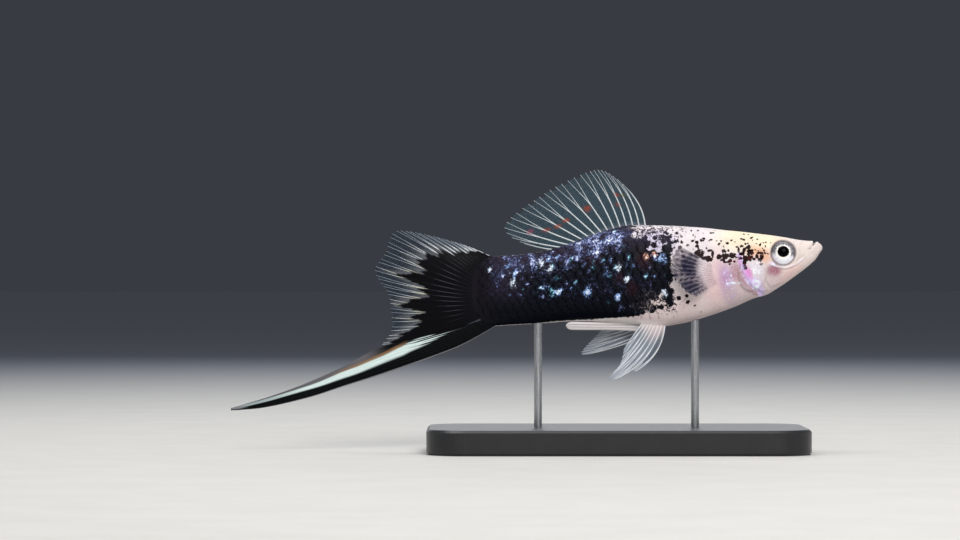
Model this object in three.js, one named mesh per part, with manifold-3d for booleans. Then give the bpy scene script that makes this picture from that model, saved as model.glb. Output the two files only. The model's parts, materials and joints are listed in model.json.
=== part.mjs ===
// A male swordtail, life size, as a still museum model: it swims level on a plain stand.
// Millimetres, +Z up. The head points to +X and the fish's right side faces -Y.
// The origin is the middle of the stand's underside, where the model rests.
// The fish is drawn in its own group, whose heights count from the lowest point of the belly.
import * as THREE from "three";
import { ParametricGeometry } from "three/addons/geometries/ParametricGeometry.js";
import { mergeVertices } from "three/addons/utils/BufferGeometryUtils.js";
import Module from "manifold-3d";

const wasm = await Module();
wasm.setup();

// Driving dimensions
const SNOUT_X = 41.0; // tip of the lower jaw
const TAIL_ROOT_X = -29.6; // end of the flesh, where the tail rays start
const BELLY_HEIGHT = 25; // lowest point of the belly above the floor
const CUT = 0.24; // the thin gap between neighbouring pieces
const FIN_THICK = 0.56; // a fin's web and rays together
const BASE = { length: 76, depth: 38, thick: 5, corner: 7, bevel: 0.5 };
const ROD = { radius: 0.8, front: 15.6, rear: -15.8, reach: 4 }; // reach is cut off by the belly
const EYE = { x: 32.95, height: 14.8, side: 2.8, radius: 2.4, flat: 0.74 };

// A smooth curve through [x, value] pairs that never overshoots them, read at any x.
function through(pairs) {
  const sorted = [...pairs].sort((a, b) => a[0] - b[0]);
  const last = sorted.length - 1;
  const rise = (i) => (sorted[i + 1][1] - sorted[i][1]) / (sorted[i + 1][0] - sorted[i][0]);
  const slope = sorted.map((_, i) => {
    if (i === 0) return rise(0);
    if (i === last) return rise(last - 1);
    const before = rise(i - 1);
    const after = rise(i);
    return before * after <= 0 ? 0 : (2 * before * after) / (before + after);
  });
  return (x) => {
    const inside = THREE.MathUtils.clamp(x, sorted[0][0], sorted[last][0]);
    const i = Math.min(last - 1, sorted.findLastIndex((pair) => pair[0] <= inside));
    const wide = sorted[i + 1][0] - sorted[i][0];
    const t = (inside - sorted[i][0]) / wide;
    const rest = 1 - t;
    const start = sorted[i][1] * (1 + 2 * t) * rest * rest + slope[i] * wide * t * rest * rest;
    return start + sorted[i + 1][1] * (3 - 2 * t) * t * t - slope[i + 1] * wide * t * t * rest;
  };
}

// The body from the side and from above, as [x, height] and [x, half width].
const back = through([
  [-26, 14.2], [-20.5, 14.45], [-15.2, 15.1], [-10.8, 16.3], [-2.4, 19.3], [3, 20.4], [8.6, 20.4],
  [16.6, 20.0], [24.6, 19.1], [32.6, 18.1], [36.6, 17.4], [39.2, 17.15], [41, 16.95],
]);
const belly = through([
  [-24, 0.1], [-15.4, 0.6], [-7.4, 1.1], [0.6, 0.7], [8.6, 0], [13, 0.6], [17.8, 1.9], [22.6, 3.6],
  [27.4, 5.7], [29.8, 6.4], [32.2, 7.8], [36.6, 10.9], [39.4, 13.2], [41, 15.0],
]);
const halfWidth = through([
  [-29.6, 0.45], [-26.5, 1.2], [-23, 1.9], [-15, 2.85], [-8, 3.65], [0, 4.5], [8, 5.1], [15, 5.35],
  [20, 5.25], [25, 4.95], [30, 4.4], [34, 3.75], [37, 3.0], [39, 2.4], [41, 1.75],
]);
// Where the body is widest, as a share of its depth, and how square its upper and lower halves are.
const widest = through([
  [-29, 0.5], [8, 0.5], [20, 0.54], [30, 0.62], [38, 0.66], [39.4, 0.64], [40.2, 0.55], [41, 0.37],
]);
const squareTop = through([[-29, 2], [10, 2], [22, 2.25], [32, 2.7], [38, 2.7]]);
const squareBottom = through([[-29, 1.9], [-10, 1.9], [8, 2.15], [25, 2.0], [40, 2.2]]);

// How far each end of the body has closed, 1 along the body and 0 at its very tip.
const TAIL_CLOSES = 5.2;
const SNOUT_CLOSES = 1.6;
function openness(x, grow) {
  const behind = Math.max(0, TAIL_ROOT_X + TAIL_CLOSES - x) / (TAIL_CLOSES + grow);
  const ahead = Math.max(0, x - SNOUT_X + SNOUT_CLOSES) / (SNOUT_CLOSES + grow);
  return Math.sqrt(Math.max(0, 1 - behind * behind - ahead * ahead));
}

// Cross sections along the body, closer together towards both ends, and corners round each.
const STATIONS = 36;
const ROUND = 24;
const CROWDING = 0.65;
const END_SQUARENESS = 0.4;

// The whole body as one solid, or one whose surface lies further out by grow.
function bodySolid(grow = 0) {
  const from = TAIL_ROOT_X - grow;
  const to = SNOUT_X + grow;
  return solidOf(new ParametricGeometry((around, along, target) => {
    const ease = along - Math.sin(2 * Math.PI * along) / (2 * Math.PI);
    const x = THREE.MathUtils.lerp(from, to, THREE.MathUtils.lerp(along, ease, CROWDING));
    const open = along === 0 || along === 1 ? 0 : openness(x, grow);
    const level = THREE.MathUtils.lerp(belly(x), back(x), widest(x));
    const up = (back(x) - level + grow) * open;
    const down = (level - belly(x) + grow) * open;
    const wide = (halfWidth(x) + grow) * open ** END_SQUARENESS;
    const angle = 2 * Math.PI * around;
    const rises = Math.sin(angle) >= 0;
    const power = 2 / (rises ? squareTop(x) : squareBottom(x));
    const side = Math.sign(Math.cos(angle)) * Math.abs(Math.cos(angle)) ** power;
    const height = Math.sign(Math.sin(angle)) * Math.abs(Math.sin(angle)) ** power;
    target.set(x, wide * side, level + (rises ? up : down) * height);
  }, ROUND, STATIONS));
}

// A three.js geometry as a solid, with shared corners merged and flat triangles dropped.
function solidOf(geometry) {
  const bare = geometry.index ? geometry.toNonIndexed() : geometry.clone();
  bare.deleteAttribute("normal");
  bare.deleteAttribute("uv");
  const merged = mergeVertices(bare, 1e-4);
  const kept = [];
  for (let i = 0; i < merged.index.count; i += 3) {
    const corners = [0, 1, 2].map((k) => merged.index.getX(i + k));
    if (new Set(corners).size === 3) kept.push(corners);
  }
  const build = (triangles) => new wasm.Manifold(new wasm.Mesh({
    numProp: 3,
    vertProperties: merged.attributes.position.array,
    triVerts: new Uint32Array(triangles.flat()),
  }));
  const solid = build(kept);
  return solid.volume() > 0 ? solid : build(kept.map(([a, b, c]) => [a, c, b]));
}

// A solid as a named mesh in its colour.
function piece(name, solid, material) {
  const made = solid.getMesh();
  const geometry = new THREE.BufferGeometry();
  geometry.setAttribute("position", new THREE.BufferAttribute(made.vertProperties, 3));
  geometry.setIndex(new THREE.BufferAttribute(made.triVerts, 1));
  geometry.computeVertexNormals();
  const mesh = new THREE.Mesh(geometry, material);
  mesh.name = name;
  return mesh;
}

const paint = (color, roughness, metalness = 0) =>
  new THREE.MeshStandardMaterial({ color, roughness, metalness });
const PALE_SKIN = paint(0xe9d5cf, 0.45);
const GILL_SKIN = paint(0xd9bfd6, 0.3, 0.2);
const BLACK_SKIN = paint(0x15141d, 0.4);
const CLEAR_FIN = paint(0xaeb9bd, 0.4);
const SWORD_SKIN = paint(0xdcefe9, 0.3, 0.2);
const EYE_SILVER = paint(0xcfd4d6, 0.2, 0.3);
const STAND_BLACK = paint(0x1c1c1f, 0.5);
const ROD_STEEL = paint(0xb9bcc0, 0.25, 1);

const flatPoints = (points) => points.map(([x, height]) => new THREE.Vector2(x, height));
const flatCurve = (points) => new THREE.SplineCurve(flatPoints(points));

// A flat outline in the side view, drawn from [x, height] points, as a prism between two sides.
function sidePrism(points, from, to) {
  const outline = new THREE.Shape(flatPoints(points));
  const prism = new THREE.ExtrudeGeometry(outline, { depth: to - from, bevelEnabled: false });
  prism.rotateX(Math.PI / 2);
  prism.translate(0, to, 0);
  return solidOf(prism);
}

// A thin slit that follows a smooth line in the side view, right through the body.
const SLIT_STEPS = 14;
const ACROSS = 9;
function slit(points) {
  const line = flatCurve(points);
  const edge = (sign) => Array.from({ length: SLIT_STEPS + 1 }, (_, i) => {
    const at = line.getPointAt(i / SLIT_STEPS);
    const along = line.getTangentAt(i / SLIT_STEPS);
    return [at.x - (sign * along.y * CUT) / 2, at.y + (sign * along.x * CUT) / 2];
  });
  return sidePrism([...edge(1), ...edge(-1).reverse()], -ACROSS, ACROSS);
}

// The gill opening, from the nape round the back of the gill cover to the throat.
const GILL_LINE = [
  [26.2, 22], [24.9, 18], [23.8, 15.4], [23.6, 13.2], [24.4, 10.9], [25.7, 8.9], [27.2, 7.4],
  [29, 5.6], [30.6, 3],
];
// The mouth, from the notch between the lips to the corner of the lower jaw.
const JAW_LINE = [
  [39.5, 19], [38.9, 16.8], [38.1, 15.7], [36.6, 14.2], [35.2, 12.2], [34.4, 9.8], [34.2, 6.5],
];
// The end of the trunk, just behind the dorsal fin.
const STALK_LINE = [[-11.9, 18], [-12.6, 12], [-12.8, 8], [-12.6, 4], [-11.9, -2]];
// The bony plate of the gill cover, in front of the gill opening.
const GILL_PLATE = [
  [24.2, 15.3], [26.2, 15.6], [28.0, 14.9], [28.9, 13.2], [29.3, 11.2], [29.5, 9.3], [29.1, 7.8],
  [28.2, 6.9], [27.0, 6.0], [25.2, 7.4], [23.4, 9.6], [22.7, 12.0], [22.7, 14.2],
];
// The plate lies in a recess of that outline. It fills a share of it and stands a little proud.
const PLATE = { middle: [26.6, 11.2], corners: 26, depth: 0.9, fills: 0.94, proud: 0.12 };

// An eyeball, a sphere pressed flat from side to side.
const EYE_ROUND = 18;
function eyeball(side, grow = 0) {
  const ball = new THREE.SphereGeometry(EYE.radius + grow, EYE_ROUND, EYE_ROUND / 2);
  ball.rotateX(Math.PI / 2);
  ball.scale(1, EYE.flat, 1);
  ball.translate(EYE.x, side * EYE.side, EYE.height);
  return solidOf(ball);
}

// The solid among several whose middle lies nearest to a point in the side view.
function nearest(solids, [x, height]) {
  const away = (solid) => {
    const box = solid.boundingBox();
    return Math.hypot((box.min[0] + box.max[0]) / 2 - x, (box.min[2] + box.max[2]) / 2 - height);
  };
  return solids.reduce((best, solid) => (away(solid) < away(best) ? solid : best));
}

const largest = (solids) => solids.reduce((a, b) => (b.volume() > a.volume() ? b : a));

// The outline of the gill plate, drawn smaller round its middle by a share.
function plateOutline(share) {
  const middle = new THREE.Vector2(...PLATE.middle);
  return flatCurve([...GILL_PLATE, GILL_PLATE[0]])
    .getPoints(PLATE.corners)
    .slice(0, -1)
    .map((point) => middle.clone().lerp(point, share).toArray());
}

// The part of the body's shell, between a depth and a height over the skin, behind an outline.
function shellBehind(outline, depth, above) {
  const shell = bodySolid(above).subtract(bodySolid(-depth));
  return sidePrism(outline, -ACROSS, ACROSS).intersect(shell);
}

// The body parted with thin slits into head, lower jaw, trunk and tail stalk, with the eyes sunk in.
function bodyPieces() {
  const sockets = eyeball(1, CUT).add(eyeball(-1, CUT));
  const slits = slit(GILL_LINE).add(slit(JAW_LINE)).add(slit(STALK_LINE));
  const parted = bodySolid().subtract(slits).subtract(sockets).decompose();
  const recess = shellBehind(plateOutline(1), PLATE.depth + CUT, 1);
  const head = nearest(parted, [30, 12]).subtract(recess).decompose();
  const covers = shellBehind(plateOutline(PLATE.fills), PLATE.depth, PLATE.proud)
    .subtract(slit(GILL_LINE))
    .decompose();
  const sideOf = (solid) => Math.sign(solid.boundingBox().min[1] + solid.boundingBox().max[1]);
  const cover = (side) => largest(covers.filter((solid) => sideOf(solid) === side));
  return [
    piece("head", largest(head), PALE_SKIN),
    piece("gill_cover_right", cover(-1), GILL_SKIN),
    piece("gill_cover_left", cover(1), GILL_SKIN),
    piece("lower_jaw", nearest(parted, [37.5, 13]), PALE_SKIN),
    piece("trunk", nearest(parted, [6, 10]), PALE_SKIN),
    piece("tail_stalk", nearest(parted, [-21, 8]), BLACK_SKIN),
    piece("eye_right", eyeball(-1), EYE_SILVER),
    piece("eye_left", eyeball(1), EYE_SILVER),
  ];
}

// A fin: rays that fan from a root line to a margin line, notched between the ray tips.
// bow bends each ray in the side view, and sway moves the web sideways by how far out it lies.
// The last row of corners before the margin lies LAST_ROW out, and the root is thicker by SWELL.
const FIN_ROWS = 5;
const LAST_ROW = 0.96;
const SWELL = 0.35;
function finSolid({ root, margin, rays, bow, notch, sway }) {
  const rootLine = flatCurve(root);
  const marginLine = flatCurve(margin);
  const columns = 2 * rays;
  return solidOf(new ParametricGeometry((around, along, target) => {
    const across = Math.round((1 - Math.abs(2 * around - 1)) * columns) / columns;
    const start = rootLine.getPointAt(across);
    const ray = marginLine.getPointAt(across).sub(start);
    const between = Math.round(across * columns) % 2;
    const out = along === 1 ? 1 : (along * FIN_ROWS * LAST_ROW) / (FIN_ROWS - 1);
    const reach = out * (1 - between * notch * out ** 6);
    const bend = bow(across) * 4 * out * (1 - out);
    const rim = across === 0 || across === 1 || along === 0 || along === 1;
    const half = rim ? 0 : (FIN_THICK * (1 + SWELL * (1 - out))) / 2;
    target.set(
      start.x + ray.x * reach + ray.y * bend,
      sway(across, out, reach * ray.length()) + (around <= 0.5 ? -half : half),
      start.y + ray.y * reach - ray.x * bend,
    );
  }, 2 * columns, FIN_ROWS));
}

// The dorsal fin, a tall sail that leans back over the tail stalk.
const DORSAL = {
  root: [[5.7, 19.6], [2.6, 19.5], [-2.4, 18.5], [-6.5, 16.9], [-10.7, 15.3]],
  margin: [
    [1.6, 28.1], [-0.4, 29.9], [-3.3, 31.4], [-6.7, 30.7], [-13.2, 27.5], [-20, 22.9], [-22.4, 20.3],
    [-21.6, 18.3], [-18.6, 16.7],
  ],
  rays: 14,
  notch: 0.045,
  bow: (across) => 0.1 * (1 - across) ** 2 - 0.03 * across,
  sway: (across, out) => 0.5 * out * Math.sin(2.2 * Math.PI * across),
};

// The tail fan, above the sword.
const TAIL_FAN = {
  root: [[-24.6, 13.6], [-27.2, 11.4], [-28.2, 8], [-27.8, 4.8], [-26.2, 2.4]],
  margin: [
    [-25.9, 14.4], [-29.4, 16], [-35.4, 17.8], [-41.4, 19.1], [-44.3, 19.1], [-45.5, 17.4],
    [-46.3, 14.8], [-48.4, 11.6], [-47.6, 9.4], [-45.9, 6.9], [-45.3, 4.4], [-45.0, 0.6],
    [-45.4, -1.3], [-47.0, -3.5],
  ],
  rays: 20,
  notch: 0.03,
  bow: (across) => 0.05 * Math.cos(Math.PI * across),
  sway: (across, out) => 0.7 * out * Math.sin(2.6 * Math.PI * across),
};

// Where the fan and the sword are parted.
const FAN_FOOT = [[-23, 2.0], [-31.4, 0.25], [-40, -2.0], [-47.6, -4.0], [-50, -5.0]];

// The sword, drawn from its upper edge to its lower edge, each from the tail stalk to the tip.
const SWORD = {
  upper: [
    [-25.2, 1.9], [-31.4, 0.1], [-40.0, -2.2], [-47.4, -4.1], [-55.4, -8.2], [-62.6, -11.4],
    [-69.8, -14], [-77.2, -16.2],
  ],
  lower: [
    [-23.6, 0.6], [-29.8, -3.0], [-34.8, -5.2], [-45.8, -9.1], [-54.4, -11.8], [-61.6, -14.1],
    [-70.4, -16.1], [-77.2, -16.7],
  ],
  swell: 0.8, // how much thicker it is at the tail stalk
};
const SWORD_ROWS = 20;
const SWORD_COLUMNS = 4;
function swordSolid() {
  const upper = flatCurve(SWORD.upper);
  const lower = flatCurve(SWORD.lower);
  return solidOf(new ParametricGeometry((around, along, target) => {
    const across = Math.round((1 - Math.abs(2 * around - 1)) * SWORD_COLUMNS) / SWORD_COLUMNS;
    const at = upper.getPointAt(along).lerp(lower.getPointAt(along), across);
    const rim = across === 0 || across === 1 || along === 0 || along === 1;
    const half = rim ? 0 : (FIN_THICK * (1 + SWORD.swell * (1 - along))) / 2;
    target.set(at.x, around <= 0.5 ? -half : half, at.y);
  }, 2 * SWORD_COLUMNS, SWORD_ROWS));
}

// The paired fins in the side view, with x and height counted from the middle of each root.
const PELVIC = {
  root: [[2.3, 0.3], [0.8, 0.7], [-0.8, 0.8], [-2.2, 0.7]],
  margin: [
    [-3.4, -9.0], [-4.6, -8.6], [-7.6, -10.2], [-9.0, -9.9], [-7.0, -7.6], [-6.2, -5.4],
    [-5.9, -4.1], [-4.8, -2.6],
  ],
  rays: 6,
  notch: 0.05,
  bow: (across) => -0.13 * (1 - across),
};
const PECTORAL = {
  root: [[-0.1, 1.6], [0.2, 0.5], [0.3, -0.5], [0.5, -1.7]],
  margin: [
    [-7.4, 5.7], [-8.4, 4.0], [-9.0, 2.4], [-9.0, 0.8], [-8.0, -0.8], [-6.8, -2.4],
    [-5.8, -3.5], [-4.6, -4.1], [-3.8, -4.5],
  ],
  rays: 9,
  notch: 0.03,
  bow: () => 0.02,
};
// The far pelvic fin is half folded.
const PELVIC_FOLDED = {
  ...PELVIC,
  margin: [[-12.6, -5.5], [-14.3, -5.5], [-13.2, -3.8], [-11.6, -2.2], [-10.6, -1.0], [-9.6, -0.4]],
  bow: (across) => -0.04 * (1 - across),
};
// Each fin's root in the side view, its side of the body, how far its root lies from the middle plane,
// and how steeply it stands away from the body.
const PAIRED = [
  { name: "pelvic_fin_right", fin: PELVIC, at: [7.2, 0], side: -1, from: 1.2, splay: 0.5 },
  { name: "pelvic_fin_left", fin: PELVIC_FOLDED, at: [7.2, 0], side: 1, from: 1.2, splay: 0.22 },
  { name: "pectoral_fin_right", fin: PECTORAL, at: [19.2, 10.5], side: -1, from: 4.9, splay: 0.42 },
  { name: "pectoral_fin_left", fin: PECTORAL, at: [19.2, 10.5], side: 1, from: 4.9, splay: 0.42 },
];
function pairedFin({ fin, at, side, from, splay }) {
  const place = (points) => points.map(([x, height]) => [at[0] + x, at[1] + height]);
  const sway = (across, out, away) => side * (from + splay * away);
  return finSolid({ ...fin, root: place(fin.root), margin: place(fin.margin), sway });
}

// The anal fin of a male, drawn out into a slender rod that lies back along the belly.
// Its ends are blunt: the higher this power, the blunter.
const GONOPODIUM = { root: 5.2, tip: -10.3, levelRoot: -0.2, levelTip: 0.05, thick: 0.45 };
const BLUNT = 16;
const GONOPODIUM_ROUND = 12;
const GONOPODIUM_ROWS = 18;
const gonopodiumDepth = through([[-10.3, 0.5], [-9.4, 0.85], [-2, 0.8], [2, 0.9], [5.2, 1.1]]);
function gonopodiumSolid() {
  const { root, tip, levelRoot, levelTip, thick } = GONOPODIUM;
  return solidOf(new ParametricGeometry((around, along, target) => {
    const x = THREE.MathUtils.lerp(tip, root, along);
    const angle = 2 * Math.PI * around;
    const open = Math.sqrt(Math.max(0, 1 - (2 * along - 1) ** BLUNT));
    const level = THREE.MathUtils.lerp(levelTip, levelRoot, along);
    const depth = gonopodiumDepth(x) * open;
    target.set(x, thick * open * Math.cos(angle), level + depth * Math.sin(angle));
  }, GONOPODIUM_ROUND, GONOPODIUM_ROWS));
}

// All the fins, each cut back from the body and from its neighbours by the thin gap.
function finPieces() {
  const flesh = bodySolid(CUT);
  const cutBack = (left, other) => left.subtract(other);
  const outside = (solid, ...others) => largest([flesh, ...others].reduce(cutBack, solid).decompose());
  const parting = slit(FAN_FOOT);
  const pieces = [
    piece("dorsal_fin", outside(finSolid(DORSAL)), CLEAR_FIN),
    piece("tail_fin", outside(finSolid(TAIL_FAN), swordSolid(), parting), CLEAR_FIN),
    piece("tail_sword", outside(swordSolid(), parting), SWORD_SKIN),
    piece("gonopodium", outside(gonopodiumSolid()), CLEAR_FIN),
  ];
  for (const paired of PAIRED) pieces.push(piece(paired.name, outside(pairedFin(paired)), CLEAR_FIN));
  return pieces;
}

// The stand: a flat base with rounded corners, and two thin rods that end under the belly.
const CORNER_STEPS = 6;
const ROD_ROUND = 20;
function basePiece() {
  const { length, depth, thick, corner, bevel } = BASE;
  const x = length / 2 - bevel;
  const y = depth / 2 - bevel;
  const outline = new THREE.Shape();
  outline.moveTo(x, -y + corner);
  outline.absarc(x - corner, y - corner, corner, 0, Math.PI / 2);
  outline.absarc(-x + corner, y - corner, corner, Math.PI / 2, Math.PI);
  outline.absarc(-x + corner, -y + corner, corner, Math.PI, 1.5 * Math.PI);
  outline.absarc(x - corner, -y + corner, corner, 1.5 * Math.PI, 2 * Math.PI);
  const slab = new THREE.ExtrudeGeometry(outline, {
    depth: thick - 2 * bevel,
    bevelSize: bevel,
    bevelThickness: bevel,
    bevelSegments: 1,
    curveSegments: CORNER_STEPS,
  });
  slab.translate(0, 0, bevel - BELLY_HEIGHT);
  return piece("stand_base", solidOf(slab), STAND_BLACK);
}

function rodPiece(name, x) {
  const foot = BASE.thick + CUT / 4 - BELLY_HEIGHT;
  const height = ROD.reach - foot;
  const rod = new THREE.CylinderGeometry(ROD.radius, ROD.radius, height, ROD_ROUND);
  rod.rotateX(Math.PI / 2);
  rod.translate(x, 0, foot + height / 2);
  return piece(name, solidOf(rod).subtract(bodySolid(CUT / 2)), ROD_STEEL);
}

const model = new THREE.Group();
model.position.z = BELLY_HEIGHT;
model.add(...bodyPieces(), ...finPieces());
model.add(basePiece(), rodPiece("stand_rod_front", ROD.front), rodPiece("stand_rod_rear", ROD.rear));

const part = new THREE.Group();
part.add(model);
export default part;
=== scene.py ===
# %% [markdown]
# # A still model of a swordtail, from the frame to the finished picture
# The solids of the fish and its stand are already made and packed as a fixed frame.
# This lesson puts the real surface round them: one skin, overlapping scales, glassy eyes,
# fins of thin web and branching rays, and the finishes of the stand.
# Every length below is in millimetres until it is placed, because a small fish is easier to
# think about that way. Blender itself works in metres.

# %% Load the frame
import json
import math
import bmesh
import bpy
import numpy as np
from mathutils import Matrix, Vector

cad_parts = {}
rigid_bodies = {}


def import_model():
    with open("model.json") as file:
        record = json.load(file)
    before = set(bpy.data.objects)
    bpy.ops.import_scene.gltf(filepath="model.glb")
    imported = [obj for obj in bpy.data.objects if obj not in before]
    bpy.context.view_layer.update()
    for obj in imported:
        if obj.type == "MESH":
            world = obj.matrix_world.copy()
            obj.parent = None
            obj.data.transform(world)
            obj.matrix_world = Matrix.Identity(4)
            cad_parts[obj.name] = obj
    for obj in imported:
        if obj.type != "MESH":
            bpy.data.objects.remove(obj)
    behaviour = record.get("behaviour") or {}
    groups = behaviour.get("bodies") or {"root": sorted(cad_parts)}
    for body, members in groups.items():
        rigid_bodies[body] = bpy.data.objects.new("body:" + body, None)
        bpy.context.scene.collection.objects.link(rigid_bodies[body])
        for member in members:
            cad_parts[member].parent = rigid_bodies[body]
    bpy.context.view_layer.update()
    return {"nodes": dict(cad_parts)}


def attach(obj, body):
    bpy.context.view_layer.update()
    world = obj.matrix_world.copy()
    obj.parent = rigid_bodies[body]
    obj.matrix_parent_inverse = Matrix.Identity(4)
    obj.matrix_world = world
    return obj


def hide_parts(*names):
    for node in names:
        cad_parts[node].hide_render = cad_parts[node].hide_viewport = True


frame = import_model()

MM = 0.001
FISH_LIFT = 25.0
print("nodes in the frame:", len(frame["nodes"]))

# %% [markdown]
# ## The camera first
# The fish was seen square from its right side, with a long lens held level with its middle.
# A long lens far away keeps a thin subject nearly flat. The place of the camera follows from
# two facts: how wide the view is at the fish, and which point of it is in the middle.

# %% Place the camera
VIEW_WIDE = 192.0
VIEW_MIDDLE = (-27.4, 36.4)
LENS = 150.0
SENSOR = 36.0
CAMERA_AWAY = VIEW_WIDE * LENS / SENSOR

camera = bpy.data.objects.new("camera", bpy.data.cameras.new("camera"))
bpy.context.collection.objects.link(camera)
camera.data.lens = LENS
camera.data.sensor_width = SENSOR
camera.location = Vector((VIEW_MIDDLE[0], -CAMERA_AWAY, VIEW_MIDDLE[1])) * MM
camera.rotation_euler = (math.pi / 2, 0, 0)
bpy.context.scene.camera = camera
print("camera", round(CAMERA_AWAY), "mm in front of the fish")

# %% [markdown]
# ## A few tools for numbers
# The same three questions come back all through the lesson: where does a smooth line run
# through a few measured points, how far is a place from a line, and how strongly does a soft
# patch cover it. Answering them for whole arrays of places at once keeps the script quick.


# %% Smooth steps and lines through points
def smooth(value, low, high):
    """0 below low, 1 above high and an even S between them."""
    t = np.clip((value - low) / (high - low), 0, 1)
    return t * t * (3 - 2 * t)


def through(pairs):
    """A smooth line through the pairs that never swings past them."""
    xs, ys = np.array(sorted(pairs), float).T
    rise = np.diff(ys) / np.diff(xs)
    both = rise[:-1] * rise[1:]
    inner = np.where(both > 0, 2 * both / np.where(both > 0, rise[:-1] + rise[1:], 1), 0)
    slope = np.concatenate([rise[:1], inner, rise[-1:]])

    def line(x):
        x = np.clip(x, xs[0], xs[-1])
        i = np.clip(np.searchsorted(xs, x, side="right") - 1, 0, len(xs) - 2)
        wide = xs[i + 1] - xs[i]
        t = (x - xs[i]) / wide
        rest = 1 - t
        start = ys[i] * (1 + 2 * t) * rest**2 + slope[i] * wide * t * rest**2
        return start + ys[i + 1] * (3 - 2 * t) * t**2 - slope[i + 1] * wide * t**2 * rest

    return line


print("a line through 3 points, read half way:", through([(0, 0), (1, 2), (2, 3)])(0.5))


# %% Round curves
def bent(points, steps=240):
    """A round curve through points, read by its share of the length from 0 to 1."""
    p = np.array(points, float)
    p = np.vstack([p[:1], p, p[-1:]])
    t = np.linspace(0, len(points) - 1, steps)
    i = np.minimum(t.astype(int), len(points) - 2)
    f = (t - i)[:, None]
    a, b, c, d = p[i], p[i + 1], p[i + 2], p[i + 3]
    curve = 0.5 * (2 * b + (c - a) * f + (2 * a - 5 * b + 4 * c - d) * f**2
                   + (3 * b - a - 3 * c + d) * f**3)
    far = np.concatenate([[0], np.cumsum(np.linalg.norm(np.diff(curve, axis=0), axis=1))])
    far /= far[-1]
    return lambda share: np.stack([np.interp(share, far, axis) for axis in curve.T], -1)


print("half way round a corner:", bent([(0, 0), (1, 0), (1, 1)])(0.5).round(2))


# %% Soft patches and distances
def patch(x, h, middle, radii, soft=0.5, lean=0.0):
    """1 inside an oval, fading out round its edge. lean turns it, in degrees."""
    c, s = math.cos(math.radians(lean)), math.sin(math.radians(lean))
    across, up = x - middle[0], h - middle[1]
    far = np.hypot((across * c + up * s) / radii[0], (up * c - across * s) / radii[1])
    return 1 - smooth(far, 1 - soft, 1 + soft)


def off_line(places, points):
    """Distance of each place from a broken line, and the share along it of the nearest spot."""
    places = np.asarray(places, float)
    points = np.asarray(points, float)
    best = np.full(len(places), 1e9)
    share = np.zeros(len(places))
    legs = np.linalg.norm(np.diff(points, axis=0), axis=1)
    done = 0.0
    for start, end, leg in zip(points[:-1], points[1:], legs):
        t = np.clip((places - start) @ (end - start) / leg**2, 0, 1)
        away = np.linalg.norm(places - start - t[:, None] * (end - start), axis=1)
        nearer = away < best
        best[nearer] = away[nearer]
        share[nearer] = (done + t[nearer] * leg) / legs.sum()
        done += leg
    return best, share


print("a patch at its middle and its edge:", patch(np.array([0.0, 1.0]), 0.0, (0, 0), (1, 1)))


# %% [markdown]
# ## From numbers to pieces
# A mesh is shaped by moving the vertices that an operator made. These helpers read and write
# all the vertices of a mesh in one go, hang measured values on them as attributes, which the
# materials read back, and add each finished piece to the fish in place of the frame's nodes.


# %% Read and write a mesh
def spots_of(mesh):
    """All vertices as rows of x, y and z."""
    flat = np.empty(len(mesh.vertices) * 3, np.float32)
    mesh.vertices.foreach_get("co", flat)
    return flat.reshape(-1, 3).astype(float)


def set_spots(mesh, x, y, h):
    """Moves the vertices to millimetre places, with h measured from the belly."""
    flat = np.stack([x, y, h + FISH_LIFT], -1) * MM
    mesh.vertices.foreach_set("co", flat.astype(np.float32).ravel())
    mesh.update()


def hang_value(mesh, name, values):
    """Gives every vertex a number that a material can read."""
    mesh.attributes.new(name, "FLOAT", "POINT").data.foreach_set("value", values.astype(np.float32))


def hang_colour(mesh, name, colours):
    """Gives every vertex a colour that a material can read."""
    full = np.ones((len(colours), 4), np.float32)
    full[:, :3] = colours
    mesh.attributes.new(name, "FLOAT_COLOR", "POINT").data.foreach_set("color", full.ravel())


# %% Turn a bmesh into a piece
def mesh_from(bm, name, outward=True):
    """Turns a bmesh into a smooth mesh with its faces pointing out."""
    if outward:
        bmesh.ops.recalc_face_normals(bm, faces=bm.faces[:])
    mesh = bpy.data.meshes.new(name)
    bm.to_mesh(mesh)
    bm.free()
    mesh.shade_smooth()
    return mesh


def turn_outward(mesh):
    """Points the faces of a mesh outward again, after its vertices have moved."""
    bm = bmesh.new()
    bm.from_mesh(mesh)
    bmesh.ops.recalc_face_normals(bm, faces=bm.faces[:])
    bm.to_mesh(mesh)
    bm.free()


def piece(name, mesh, material, slot, *nodes):
    """Adds a finished piece to the fish, in place of the frame's nodes if any are named."""
    thing = bpy.data.objects.new(name, mesh)
    bpy.context.collection.objects.link(thing)
    mesh.materials.append(material)
    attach(thing, "root")
    if nodes:
        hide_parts(*nodes)
    print(name, len(mesh.vertices), "vertices")


# %% [markdown]
# ## Colours as the eye names them
# Paint is mixed in screen values from 0 to 255, while the renderer adds light in
# linear numbers. One small function turns the first into the second.


# %% Screen colours to linear ones
def tone(red, green, blue):
    screen = np.array([red, green, blue]) / 255
    return np.where(screen <= 0.04045, screen / 12.92, ((screen + 0.055) / 1.055) ** 2.4)


def lay(colours, weight, colour):
    """Paints colour over colours where weight says."""
    colours += (colour - colours) * np.clip(weight, 0, 1)[:, None]


print("half grey on a screen is", tone(128, 128, 128)[0].round(3), "of the light")


# %% [markdown]
# ## The shape of the body
# A fish's trunk is a row of cross sections. Each is an oval whose top, foot and width come
# from three lines drawn along the fish, and whose corners are squarer over the back than
# under the belly. Written as a formula, the same surface serves the skin, the scales that lie
# on it, and the places where the fins are rooted.

# %% Lines of the body
SNOUT_X, SNOUT_CLOSES = 41.0, 1.6
TAIL_X, TAIL_CLOSES = -29.6, 5.2
BLUNT = 0.4

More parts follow.
